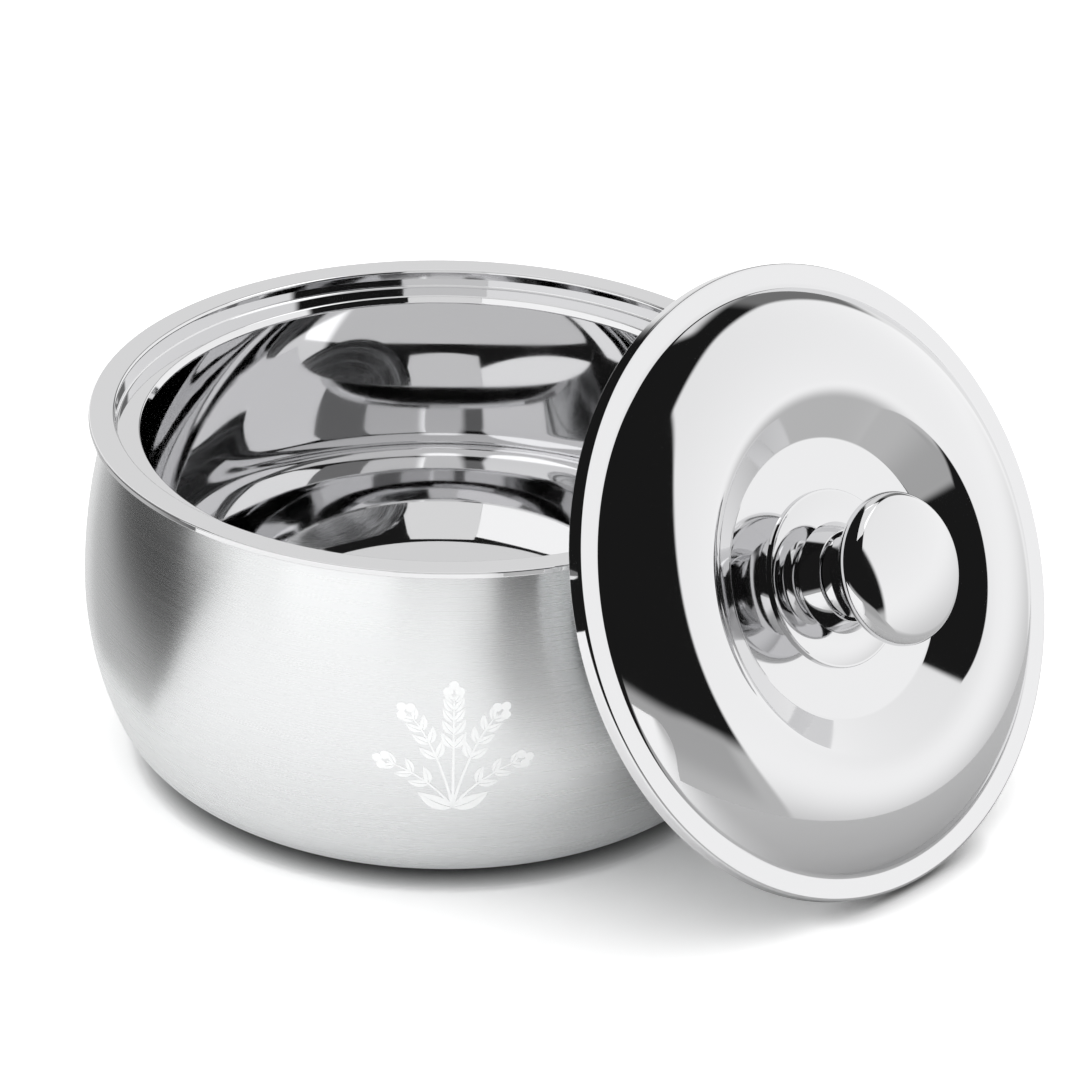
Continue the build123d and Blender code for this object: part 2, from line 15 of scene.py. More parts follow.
import bpy
import numpy as np
from mathutils import Matrix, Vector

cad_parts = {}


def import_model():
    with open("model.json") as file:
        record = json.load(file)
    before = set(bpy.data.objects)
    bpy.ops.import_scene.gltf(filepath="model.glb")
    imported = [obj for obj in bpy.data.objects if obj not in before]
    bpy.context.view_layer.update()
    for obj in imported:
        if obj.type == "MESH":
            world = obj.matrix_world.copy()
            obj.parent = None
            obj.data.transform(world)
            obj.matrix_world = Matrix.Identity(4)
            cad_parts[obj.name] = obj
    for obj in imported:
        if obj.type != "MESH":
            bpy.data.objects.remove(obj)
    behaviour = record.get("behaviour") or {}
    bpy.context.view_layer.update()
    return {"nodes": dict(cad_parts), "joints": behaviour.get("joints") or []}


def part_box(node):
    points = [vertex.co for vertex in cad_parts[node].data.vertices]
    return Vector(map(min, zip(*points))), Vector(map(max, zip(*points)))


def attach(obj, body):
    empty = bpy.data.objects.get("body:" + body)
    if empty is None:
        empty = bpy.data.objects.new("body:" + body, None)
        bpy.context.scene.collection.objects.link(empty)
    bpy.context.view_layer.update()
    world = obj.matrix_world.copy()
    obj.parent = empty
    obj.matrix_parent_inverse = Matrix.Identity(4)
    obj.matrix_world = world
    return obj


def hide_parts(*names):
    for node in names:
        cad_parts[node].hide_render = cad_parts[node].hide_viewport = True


log = logging.getLogger("casserole")

MM = 0.001
FINE_STEP = 1.5  # degrees between two points of a wide arc that shows reflections
ARC_STEP = 3.0  # the same on other visible arcs
BELLY_STEP = ARC_STEP * 0.6  # the same on the shell's belly
SHORT_STEP = 6.0  # the same on short arcs
FILLET_STEP = 9.0  # the same on fillets
HIDDEN_STEP = 12.0  # the same on a face that nobody sees
COARSE_STEP = 24.0  # the same on a small arc of such a face
AXIS_RADIUS = 1e-6  # millimetres within which a point lies on the axis
FLAT_AREA = 1e-12  # square millimetres below which two segments count as parallel
UV_NAME = "turned"  # U runs along the profile in metres, V round the axis in turns


class Turns(Enum):
    """How many steps a turned piece takes round its axis."""

    LARGE = 480
    SMALL = 240


# ---------------------------------------------------------------- profiles


@dataclass(frozen=True)
class Stretch:
    """One smooth stretch of a profile: (radius, height) points and the unit normals there."""

    points: np.ndarray
    normals: np.ndarray

    def back(self) -> "Stretch":
        """The same stretch travelled the other way, facing the other side."""
        return Stretch(self.points[::-1], -self.normals[::-1])


def crossing(first: np.ndarray, second: np.ndarray) -> tuple[int, float, int, float, np.ndarray]:
    """Finds where two open polylines meet.

    Each pair of segments gives two linear equations in its two fractions; the pair whose fractions
    both lie between 0 and 1 is the crossing.

    Args:
        first: Points of the first polyline.
        second: Points of the second polyline.

    Returns:
        Segment and fraction on the first, segment and fraction on the second, and the point.
    """
    a, run_a = first[:-1, None], np.diff(first, axis=0)[:, None]
    b, run_b = second[None, :-1], np.diff(second, axis=0)[None]
    gap = b - a
    area = run_a[..., 0] * run_b[..., 1] - run_a[..., 1] * run_b[..., 0]
    area = np.where(np.abs(area) < FLAT_AREA, np.nan, area)
    u = (gap[..., 0] * run_b[..., 1] - gap[..., 1] * run_b[..., 0]) / area
    v = (gap[..., 0] * run_a[..., 1] - gap[..., 1] * run_a[..., 0]) / area
    outside = np.maximum.reduce([-u, u - 1, -v, v - 1])
    i, j = np.unravel_index(np.nanargmin(outside), outside.shape)
    return int(i), float(u[i, j]), int(j), float(v[i, j]), first[i] + u[i, j] * run_a[i, 0]


class Outline:
    """A profile drawn with a pen; its outer side is on the right of the pen's travel."""

    def __init__(self, radius: float, height: float, step: float = ARC_STEP) -> None:
        """Puts the pen down.

        Args:
            radius: Distance from the axis.
            height: Height along the axis.
            step: Degrees between two points of an arc.
        """
        self.pen = np.array([radius, height], float)
        self.step = step
        self.stretches: list[Stretch] = []

    def lines(self, *points: tuple[float, ...]) -> "Outline":
        """Draws straight stretches.

        Args:
            *points: Radius and height of each end, then the radius of the fillet at its start, if any.

        Returns:
            The outline itself.
        """
        for radius, height, *corner in points:
            end = np.array([radius, height], float)
            along = (end - self.pen) / np.linalg.norm(end - self.pen)
            normal = np.array([along[1], -along[0]])
            self.add(Stretch(np.stack([self.pen, end]), np.stack([normal, normal])), *corner)
        return self

    def arc(self, centre: tuple[float, float], sweep: float, corner: float = 0.0) -> "Outline":
        """Draws an arc from the pen about a centre.

        Args:
            centre: Radius and height of the arc's centre.
            sweep: Degrees that the pen turns round the centre, positive from the axis side upwards.
            corner: Radius of the fillet at its start.

        Returns:
            The outline itself.
        """
        spoke = self.pen - np.array(centre)
        count = max(2, math.ceil(abs(sweep) / self.step) + 1)
        angles = math.atan2(spoke[1], spoke[0]) + np.radians(np.linspace(0, sweep, count))
        rays = np.stack([np.cos(angles), np.sin(angles)], axis=1)
        points = np.array(centre) + np.linalg.norm(spoke) * rays
        return self.add(Stretch(points, rays * math.copysign(1, sweep)), corner)

    def back(self) -> "Outline":
        """The same profile drawn from its end to its start, so that it faces the other side."""
        other = Outline(*self.pen, step=self.step)
        other.stretches = [stretch.back() for stretch in reversed(self.stretches)]
        other.pen = other.stretches[-1].points[-1]
        return other

    def join(self, other: "Outline", corner: float) -> "Outline":
        """Runs on along another outline.

        Args:
            other: Outline that starts at the pen.
            corner: Radius of the fillet at its start.

        Returns:
            The outline itself.
        """
        for stretch in other.stretches:
            self.add(stretch, corner if stretch is other.stretches[0] else 0.0)
        return self

    def follow(self, other: "Outline") -> "Outline":
        """Goes straight to another outline's start and then along it."""
        return self.lines(other.stretches[0].points[0]).join(other, 0.0)

    def close(self) -> "Outline":
        """Goes straight back to the start."""
        return self.lines(self.stretches[0].points[0])

    def add(self, stretch: Stretch, corner: float = 0.0) -> "Outline":
        """Appends a stretch, after a fillet that touches it and the one before.

        The fillet's centre is where the two stretches cross once both are moved sideways by its radius.

        Args:
            stretch: Stretch that starts at the pen.
            corner: Radius of the fillet, or 0 for a sharp corner.

        Returns:
            The outline itself.
        """
        if corner > 0:
            before = self.stretches.pop()
            n_in, n_out = before.normals[-1], stretch.normals[0]
            side = math.copysign(1, n_in[0] * n_out[1] - n_in[1] * n_out[0])
            shift = side * corner
            i, u, j, v, centre = crossing(
                before.points - shift * before.normals, stretch.points - shift * stretch.normals
            )
            leave = before.normals[i] + u * (before.normals[i + 1] - before.normals[i])
            land = stretch.normals[j] + v * (stretch.normals[j + 1] - stretch.normals[j])
            leave, land = leave / np.linalg.norm(leave), land / np.linalg.norm(land)
            turn = math.degrees(math.acos(np.clip(leave @ land, -1, 1))) * side
            self.pen = centre + shift * leave
            self.stretches.append(
                Stretch(
                    np.vstack([before.points[: i + 1], self.pen]),
                    np.vstack([before.normals[: i + 1], leave]),
                )
            )
            self.arc(tuple(centre), turn)
            stretch = Stretch(
                np.vstack([centre + shift * land, stretch.points[j + 1 :]]),
                np.vstack([land, stretch.normals[j + 1 :]]),
            )
        self.stretches.append(stretch)
        self.pen = stretch.points[-1]
        return self


@dataclass(frozen=True)
class Axis:
    """Axis of a turned piece: its foot in metres and three directions, the last one along it."""

    foot: np.ndarray
    side: np.ndarray
    across: np.ndarray
    along: np.ndarray

    def place(self, radius: np.ndarray, turn: np.ndarray, height: np.ndarray) -> np.ndarray:
        """Points in metres: foot + radius cos(turn) side + radius sin(turn) across + height along.

        Args:
            radius: Distances from the axis in millimetres.
            turn: Angles round the axis in radians.
            height: Heights in millimetres.

        Returns:
            The points, one row each.
        """
        cos, sin = np.cos(turn)[..., None], np.sin(turn)[..., None]
        flat = MM * radius[..., None] * (cos * self.side + sin * self.across)
        return self.foot + flat + MM * height[..., None] * self.along


def turned(name: str, outline: Outline, axis: Axis, turns: Turns) -> bpy.types.Object:
    """Turns a profile about an axis into a closed mesh with exact normals.

    The grid has one row for each profile point and one column for each step of the turn.  A point on
    the axis is one vertex, and the faces beside it are triangles.

    Args:
        name: Name of the piece.
        outline: Closed profile, or one that runs from the axis back to the axis.
        axis: Axis of revolution.
        turns: Number of steps round the axis.

    Returns:
        The new object, linked to the scene.
    """
    points = np.vstack([outline.stretches[0].points[:1]] + [s.points[1:] for s in outline.stretches])
    length = np.concatenate([[0], np.cumsum(np.linalg.norm(np.diff(points, axis=0), axis=1))])
    low = np.arange(len(points) - 1)
    high = low + 1
    lower = (np.vstack([s.normals[:-1] for s in outline.stretches]), MM * length[low])
    upper = (np.vstack([s.normals[1:] for s in outline.stretches]), MM * length[high])
    if np.allclose(points[0], points[-1]) and points[0, 0] > AXIS_RADIUS:
        points = points[:-1]
        high = high % len(points)

    steps = turns.value
    columns = np.arange(steps)
    pole = points[:, 0] < AXIS_RADIUS
    sizes = np.where(pole, 1, steps)
    base = np.cumsum(sizes) - sizes
    angle = np.concatenate([np.zeros(1) if p else columns * 2 * np.pi / steps for p in pole])
    vertices = axis.place(np.repeat(points[:, 0], sizes), angle, np.repeat(points[:, 1], sizes))

    shape = (len(low), steps, 4)
    index = np.zeros(shape, int)
    normal = np.zeros(shape + (3,))
    uv = np.zeros(shape + (2,))
    keep = np.ones(shape, bool)
    for corner, (row, (slope, u), ahead) in enumerate(
        [(low, lower, 0), (low, lower, 1), (high, upper, 1), (high, upper, 0)]
    ):
        turn = (columns + ahead) * 2 * np.pi / steps
        ring = np.cos(turn)[:, None] * axis.side + np.sin(turn)[:, None] * axis.across
        index[:, :, corner] = base[row, None] + ~pole[row, None] * ((columns + ahead) % steps)
        normal[:, :, corner] = slope[:, None, :1] * ring[None] + slope[:, None, 1:] * axis.along
        uv[:, :, corner, 0] = u[:, None]
        uv[:, :, corner, 1] = (columns + ahead) / steps
        keep[:, :, corner] = (corner % 2 == 0) | ~pole[row, None]

    counts = keep.sum(axis=2).ravel()
    mesh = bpy.data.meshes.new(name)
    mesh.vertices.add(len(vertices))
    mesh.vertices.foreach_set("co", vertices.astype(np.float32).ravel())
    mesh.loops.add(int(counts.sum()))
    mesh.loops.foreach_set("vertex_index", index[keep].astype(np.int32))
    mesh.polygons.add(len(counts))
    mesh.polygons.foreach_set("loop_start", np.concatenate([[0], np.cumsum(counts)[:-1]]).astype(np.int32))
    mesh.polygons.foreach_set("use_smooth", np.ones(len(counts), bool))
    mesh.update(calc_edges=True)
    layer = mesh.uv_layers.new(name=UV_NAME)
    layer.data.foreach_set("uv", uv[keep].astype(np.float32).ravel())
    mesh.normals_split_custom_set(normal[keep])
    return put(name, mesh)


# ---------------------------------------------------------------- materials


def linear(hex_colour: str) -> tuple[float, float, float, float]:
    """Linear RGBA of an sRGB colour.

    Args:
        hex_colour: Six hex digits, such as "E4E4E5".

    Returns:
        Red, green, blue and an alpha of 1.
    """
    values = np.array([int(hex_colour[i : i + 2], 16) / 255 for i in (0, 2, 4)])
    values = np.where(values <= 0.04045, values / 12.92, ((values + 0.055) / 1.055) ** 2.4)
    return (*values.tolist(), 1.0)


def add_node(tree: bpy.types.NodeTree, kind: str, inputs: dict | tuple = (), **settings: Any) -> Any:
    """Adds one node with its settings, input values and links.

    Args:
        tree: Node tree that gets the node.
        kind: Blender's name of the node type.
        inputs: Value of each socket by its name, or of the first sockets in order; an output socket
            as a value is linked to the input.
        **settings: Properties of the node itself.

    Returns:
        The new node.
    """
    node = tree.nodes.new(kind)
    for key, value in settings.items():
        setattr(node, key, value)
    for key, value in inputs.items() if isinstance(inputs, dict) else enumerate(inputs):
        if isinstance(value, bpy.types.NodeSocket):
            tree.links.new(value, node.inputs[key])
        else:
            node.inputs[key].default_value = value
    return node


def new_tree(name: str) -> tuple[bpy.types.Material, bpy.types.NodeTree]:
    """An empty node material and its tree."""
    material = bpy.data.materials.new(name)
    material.use_nodes = True
    material.node_tree.nodes.clear()
    return material, material.node_tree


def finish_tree(tree: bpy.types.NodeTree, shader: Any) -> None:
    """Feeds a shader node into a new material output."""
    add_node(tree, "ShaderNodeOutputMaterial", {"Surface": shader.outputs[0]})


def finish_relief(tree: bpy.types.NodeTree, relief: Any, depth_mm: float, inputs: dict) -> None:
    """Ends a material in a principled shader whose normals follow a pattern.

    Args:
        tree: Node tree of the material.
        relief: Output socket of the pattern.
        depth_mm: Its height in millimetres.
        inputs: The shader's other inputs.
    """
    bump = add_node(tree, "ShaderNodeBump", {"Height": relief, "Strength": 1.0, "Distance": MM * depth_mm})
    finish_tree(tree, add_node(tree, "ShaderNodeBsdfPrincipled", {**inputs, "Normal": bump.outputs[0]}))


@dataclass(frozen=True)
class MirrorSteel:
    """Mirror-buffed 304 stainless: sharp reflections, a slow ripple and a faint haze of wiping."""

    name: str = "mirror_buffed_steel"
    colour: str = "E2E2E3"
    roughness: tuple[float, float] = (0.025, 0.06)
    ripple_size_mm: float = 30.0
    ripple_height_mm: float = 0.012
    haze_size_mm: float = 14.0
    haze_span: tuple[float, float] = (0.35, 0.7)  # noise values that give the two roughnesses

    def build(self) -> bpy.types.Material:
        """The material, its patterns on object coordinates in metres."""
        material, tree = new_tree(self.name)
        place = add_node(tree, "ShaderNodeTexCoord").outputs["Object"]
        wiped = {"Vector": place, "Scale": 1 / (MM * self.haze_size_mm), "Detail": 5.0}
        haze = add_node(tree, "ShaderNodeTexNoise", wiped).outputs[0]
        rough = add_node(tree, "ShaderNodeMapRange", (haze, *self.haze_span, *self.roughness))
        buffed = {"Vector": place, "Scale": 1 / (MM * self.ripple_size_mm), "Detail": 1.0}
        ripple = add_node(tree, "ShaderNodeTexNoise", buffed)
        inputs = {"Base Color": linear(self.colour), "Metallic": 1.0, "Roughness": rough.outputs[0]}
        finish_relief(tree, ripple.outputs[0], self.ripple_height_mm, inputs)
        return material


@dataclass(frozen=True)
class SatinSteel:
    """Lathe-brushed 304 stainless: hairlines round the axis smear what it reflects up and down.

    The real hairlines are about 0.05 mm apart, too fine to show, so they are drawn at 0.4 mm.
    """

    name: str = "satin_brushed_steel"
    colours: tuple[str, str] = ("E3E4E5", "E6E7E7")
    roughness: float = 0.27
    roughness_swing: float = 0.012
    anisotropy: float = 0.75
    hairline_mm: float = 0.4
    hairlines_round: float = 9.0
    hairline_depth_mm: float = 0.0001
    hairline_span: tuple[float, float] = (0.3, 0.7)  # noise values that give the two roughnesses

    def build(self) -> bpy.types.Material:
        """The material, its hairlines on the turned piece's own UV map."""
        material, tree = new_tree(self.name)
        turned_uv = add_node(tree, "ShaderNodeUVMap", uv_map=UV_NAME).outputs[0]
        scale = (1 / (MM * self.hairline_mm), self.hairlines_round, 1.0)
        place = add_node(tree, "ShaderNodeMapping", {"Vector": turned_uv, "Scale": scale}).outputs[0]
        hairlines = add_node(tree, "ShaderNodeTexNoise", {"Vector": place, "Scale": 1.0, "Detail": 3.0})
        levels = (self.roughness - self.roughness_swing, self.roughness + self.roughness_swing)
        rough = add_node(tree, "ShaderNodeMapRange", (hairlines.outputs[0], *self.hairline_span, *levels))
        shade = add_node(tree, "ShaderNodeMixRGB", (hairlines.outputs[0], *map(linear, self.colours)))
        tangent = add_node(tree, "ShaderNodeTangent", direction_type="UV_MAP", uv_map=UV_NAME)
        inputs = {
            "Base Color": shade.outputs[0],
            "Metallic": 1.0,
            "Roughness": rough.outputs[0],
            "Anisotropic": self.anisotropy,
            "Tangent": tangent.outputs[0],
        }
        finish_relief(tree, hairlines.outputs[0], self.hairline_depth_mm, inputs)
        return material


@dataclass(frozen=True)
class Coat:
    """A finish with no direction of its own: a mottled colour, one roughness and a fine grain."""

    name: str
    colours: tuple[str, str]
    metallic: float
    roughness: float
    grain_mm: float
    grain_height_mm: float

    def build(self) -> bpy.types.Material:
        """The material, its grain on object coordinates in metres."""
        material, tree = new_tree(self.name)
        place = add_node(tree, "ShaderNodeTexCoord").outputs["Object"]
        mottle = {"Vector": place, "Scale": 1 / (MM * self.grain_mm), "Detail": 4.0}
        grain = add_node(tree, "ShaderNodeTexNoise", mottle)
        shade = add_node(tree, "ShaderNodeMixRGB", (grain.outputs[0], *map(linear, self.colours)))
        inputs = {"Base Color": shade.outputs[0], "Metallic": self.metallic, "Roughness": self.roughness}
        finish_relief(tree, grain.outputs[0], self.grain_height_mm, inputs)
        return material


# Laser etching leaves a frosted, nearly white surface of fine pits.
ETCHED_STEEL = Coat("laser_etched_steel", ("E6E7E7", "EDEEEE"), 0.0, 0.55, 0.4, 0.004)
# Bright zinc plate is greyer and duller than stainless, with a slight crystalline mottle.
ZINC_PLATE = Coat("bright_zinc_plate", ("AEB2B6", "C3C7CA"), 1.0, 0.32, 1.5, 0.002)
# Rigid polyurethane foam is a straw yellow mass of closed cells.
FOAM = Coat("rigid_polyurethane_foam", ("D9C58C", "EADBAE"), 0.0, 0.85, 0.8, 0.12)
# Moulded polyethylene is a soft, slightly waxy black.
PLUG_PLASTIC = Coat("moulded_black_polyethylene", ("1E1F21", "2A2B2D"), 0.0, 0.45, 0.5, 0.004)


def put(
    name: str, data: bpy.types.ID, directions: tuple[np.ndarray, ...] = (), place: np.ndarray | None = None
) -> bpy.types.Object:
    """Makes an object and links it to the scene.

    Args:
        name: Its name.
        data: Its mesh, lamp or camera.
        directions: World directions of its own X, Y and Z, if it is turned.
        place: Its origin in metres, if it is turned.

    Returns:
        The object.
    """
    thing = bpy.data.objects.new(name, data)
    bpy.context.scene.collection.objects.link(thing)
    if directions:
        matrix = np.eye(4)
        matrix[:3] = np.stack([*directions, place], axis=-1)
        thing.matrix_world = Matrix(matrix.tolist())
    return thing


def dress(piece: bpy.types.Object, material: bpy.types.Material) -> None:
    """Gives a piece one material in its first slot.

    Args:
        piece: The piece.
        material: Its material.
    """
    if piece.data.materials:
        piece.data.materials[0] = material
    else:
        piece.data.materials.append(material)


# ---------------------------------------------------------------- bowl


@dataclass(frozen=True)
class Belly:
    """A belly's side: a corner arc at its floor, a side arc, and a shoulder arc up to its neck.

    The side arc touches the corner arc and stands upright at the widest ring, where the shoulder arc
    takes over; both are centred on that ring's level.  Each ring is a radius and a height.
    """

    widest: tuple[float, float]
    floor: tuple[float, float]
    corner: float
    neck: tuple[float, float]

    def radii(self) -> tuple[float, float]:
        """Radii of the side arc and the shoulder arc.

        Returns:
            The side's, from the distance of its centre to the corner's, and the shoulder's, from its
            chord and the depth of its bow.
        """
        overhang, rise = self.widest[0] - self.floor[0], self.widest[1] - self.floor[1]
        draw_in, climb = self.widest[0] - self.neck[0], self.neck[1] - self.widest[1]
        side = (overhang**2 + rise**2 - 2 * rise * self.corner) / (2 * (overhang - self.corner))
        return side, (draw_in**2 + climb**2) / (2 * draw_in)

    def draw(self, outline: Outline, inset: float = 0.0) -> Outline:
        """Draws the three arcs from the edge of the floor to the neck.

        Corner and side meet on the line through their centres.  The shoulder climbs by the angle whose
        sine is its rise over its radius.

        Args:
            outline: Outline whose pen is at the edge of the floor.
            inset: Distance inwards, which draws the other face of a sheet.

        Returns:
            The outline.
        """
        (radius, level), (side, shoulder) = self.widest, self.radii()
        corner_centre = (self.floor[0], self.floor[1] + self.corner)
        joint = math.degrees(math.atan2(corner_centre[1] - level, corner_centre[0] - (radius - side)))
        outline.pen = np.array([self.floor[0], self.floor[1] + inset])
        outline.arc(corner_centre, 90 + joint).arc((radius - side, level), -joint)
        climb = math.degrees(math.asin((self.neck[1] - level) / shoulder))
        return outline.arc((radius - shoulder, level), climb)


@dataclass
class Bowl:
    """Belly bowl: satin shell, polished inner bowl with its ring and ledge, base plate and plug."""

    finishes: dict[str, bpy.types.Material]
    body: str = "bowl"
    sheet: float = 0.7
    rim_radius: float = 111.0
    rim_height: float = 116.5
    belly: Belly = Belly(widest=(113.0, 59.5), floor=(77.0, 0.0), corner=30.0, neck=(105.3, 112.1))
    neck_fillet: float = 1.6
    foot_width: float = 7.5
    ring_inner: float = 102.7
    ring_fillet: float = 1.0
    lip_return: float = 3.6
    lip_corner: float = 0.5
    flange_gap: float = 0.1
    seat_height: float = 110.8
    seat_radius: float = 102.5
    seat_inner: float = 95.2
    seat_fillet: float = 0.7
    inside: Belly = Belly(widest=(104.0, 60.0), floor=(70.0, 12.5), corner=28.0, neck=(94.0, 108.8))
    base_recess: float = 2.5
    base_flange_width: float = 6.0
    base_plate_gap: float = 0.4
    dish_radius: float = 44.0
    dish_depth: float = 1.4
    dish_slope: float = 3.0
    dish_fillet: float = 1.5
    plug_radii: tuple[float, float] = (5.0, 8.0)
    plug_shank: float = 5.0
    plug_head: float = 1.4
    axis: Axis = field(default_factory=lambda: Axis(np.zeros(3), *np.eye(3)))

    def outer_shell(self) -> Outline:
        """The satin shell: foot, belly, neck and the flange under the ring.

        Returns:
            Its profile.
        """
        sheet, foot, neck = self.sheet, self.belly.floor[0], self.belly.neck[0]
        low, high = self.rim_height - 2 * sheet, self.rim_height - sheet
        flange_end, inner = self.rim_radius - sheet - self.flange_gap, foot - self.foot_width
        start, recess = inner - self.base_flange_width, self.base_recess
        outside = Outline(start, recess, BELLY_STEP)
        outside.lines((inner - sheet, recess), (inner - sheet, 0), (foot, 0, sheet / 2))
        self.belly.draw(outside).lines((neck, low), (flange_end, low, self.neck_fillet))
        inside = Outline(start, recess + sheet, HIDDEN_STEP)
        inside.lines((inner, recess + sheet), (inner, sheet), (foot, sheet))
        self.belly.draw(inside, sheet).lines((neck - sheet, high), (flange_end, high))
        return outside.follow(inside.back()).close()

    def inner_bowl(self) -> Outline:
        """The polished bowl: floor, belly, throat, ledge, ring and the lip folded under it.

        Returns:
            Its profile.
        """
        sheet, rim, radius = self.sheet, self.rim_height, self.rim_radius
        floor, level = self.inside.floor
        outline = Outline(0, level - sheet, HIDDEN_STEP).lines((floor, level - sheet))
        self.inside.draw(outline, -sheet)
        outline.lines(
            (self.seat_inner, self.seat_height - sheet),
            (self.seat_radius + sheet, self.seat_height - sheet),
            (self.ring_inner + sheet, rim - sheet),
            (radius - sheet, rim - sheet),
            (radius - sheet, rim - 2 * sheet),
            (radius - self.lip_return, rim - 2 * sheet),
            (radius - self.lip_return, rim - 3 * sheet),
        )
        outline.step = FILLET_STEP
        outline.lines(
            (radius, rim - 3 * sheet),
            (radius, rim, self.lip_corner),
            (self.ring_inner, rim, self.lip_corner),
            (self.seat_radius, self.seat_height, self.ring_fillet),
            (self.seat_inner, self.seat_height, self.seat_fillet),
            (*self.inside.neck, self.seat_fillet),
        )
        upper = self.inside.draw(Outline(0, level).lines((floor, level)))
        return outline.join(upper.back(), self.seat_fillet)

    def base_plate(self) -> Outline:
        """The dished disc that closes the foot.

        Returns:
            Its profile.
        """
        sheet, low, corner = self.sheet, self.base_recess - self.sheet, self.dish_fillet
        outer = self.belly.floor[0] - self.foot_width - sheet - self.base_plate_gap
        dish, high = self.dish_radius - self.dish_slope, low + self.dish_depth
        under = Outline(self.plug_radii[0], high)
        under.lines((dish, high), (self.dish_radius, low, corner), (outer, low, corner))
        over = Outline(self.plug_radii[0], high + sheet)
        over.lines((dish, high + sheet), (self.dish_radius, low + sheet), (outer, low + sheet))
        return under.follow(over.back()).close()

    def base_plug(self) -> Outline:
        """The plug in the filling hole, its head rounded at the edge.

        Returns:
            Its profile.
        """
        seat = self.base_recess - self.sheet + self.dish_depth
        low, high = seat - self.plug_head, seat + self.sheet + self.plug_shank
        shank, head = self.plug_radii
        outline = Outline(0, low, FILLET_STEP)
        outline.lines((head, low), (head, seat, self.plug_head / 2), (shank, seat), (shank, high), (0, high))
        return outline

    def surface(self, turn: np.ndarray, height: np.ndarray, lift: float) -> np.ndarray:
        """Points just off the shell's side, by heading and height.

        Between corner and neck the side is two arcs about centres on the widest ring's level, so the
        radius is the centre's radius plus arc radius times the cosine of the slope, whose sine is the
        height over the arc radius.

        Args:
            turn: Headings round the axis, in radians.
            height: Heights in millimetres.
            lift: Distance off the face in millimetres.

        Returns:
            Points in metres.
        """
        (widest, level), (side, shoulder) = self.belly.widest, self.belly.radii()
        arc = np.where(height > level, shoulder, side)
        slope = np.arcsin((height - level) / arc)
        radius = widest - arc + (arc + lift) * np.cos(slope)
        return self.axis.place(radius, turn, level + (arc + lift) * np.sin(slope))

    def build(self) -> list[bpy.types.Object]:
        """Makes and dresses the bowl's pieces.

        Returns:
            The pieces.
        """
        profiles = {
            "outer_shell_satin": (self.outer_shell(), Turns.LARGE, "satin_steel", "outer_shell"),
            "inner_bowl_mirror": (self.inner_bowl(), Turns.LARGE, "polished_steel", "inner_bowl"),
            "base_plate_satin": (self.base_plate(), Turns.LARGE, "satin_steel", "base_plate"),
            "base_plug_moulded": (self.base_plug(), Turns.SMALL, "plug_plastic", "base_plug"),
        }
        return fit(profiles, self.axis, self.finishes, self.body)


def fit(
    profiles: dict[str, tuple[Outline, Turns, str, str]],
    axis: Axis,
    finishes: dict[str, bpy.types.Material],
    body: str,
) -> list[bpy.types.Object]:
    """Turns profiles into pieces, dresses them and puts each in the place of its node.

    Args:
        profiles: By the piece's name its profile, its steps, its material slot and its node.
        axis: Axis of revolution.
        finishes: Material of each slot.
        body: Body that the pieces ride on.

    Returns:
        The pieces.
    """
    pieces = [turned(name, outline, axis, turns) for name, (outline, turns, _, _) in profiles.items()]
    for piece, (_, _, slot, node) in zip(pieces, profiles.values()):
        dress(piece, finishes[slot])
        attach(piece, body)
        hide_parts(node)
        log.info("%s stands for %s, %d faces", piece.name, node, len(piece.data.polygons))
    return pieces


# ---------------------------------------------------------------- etched sprig


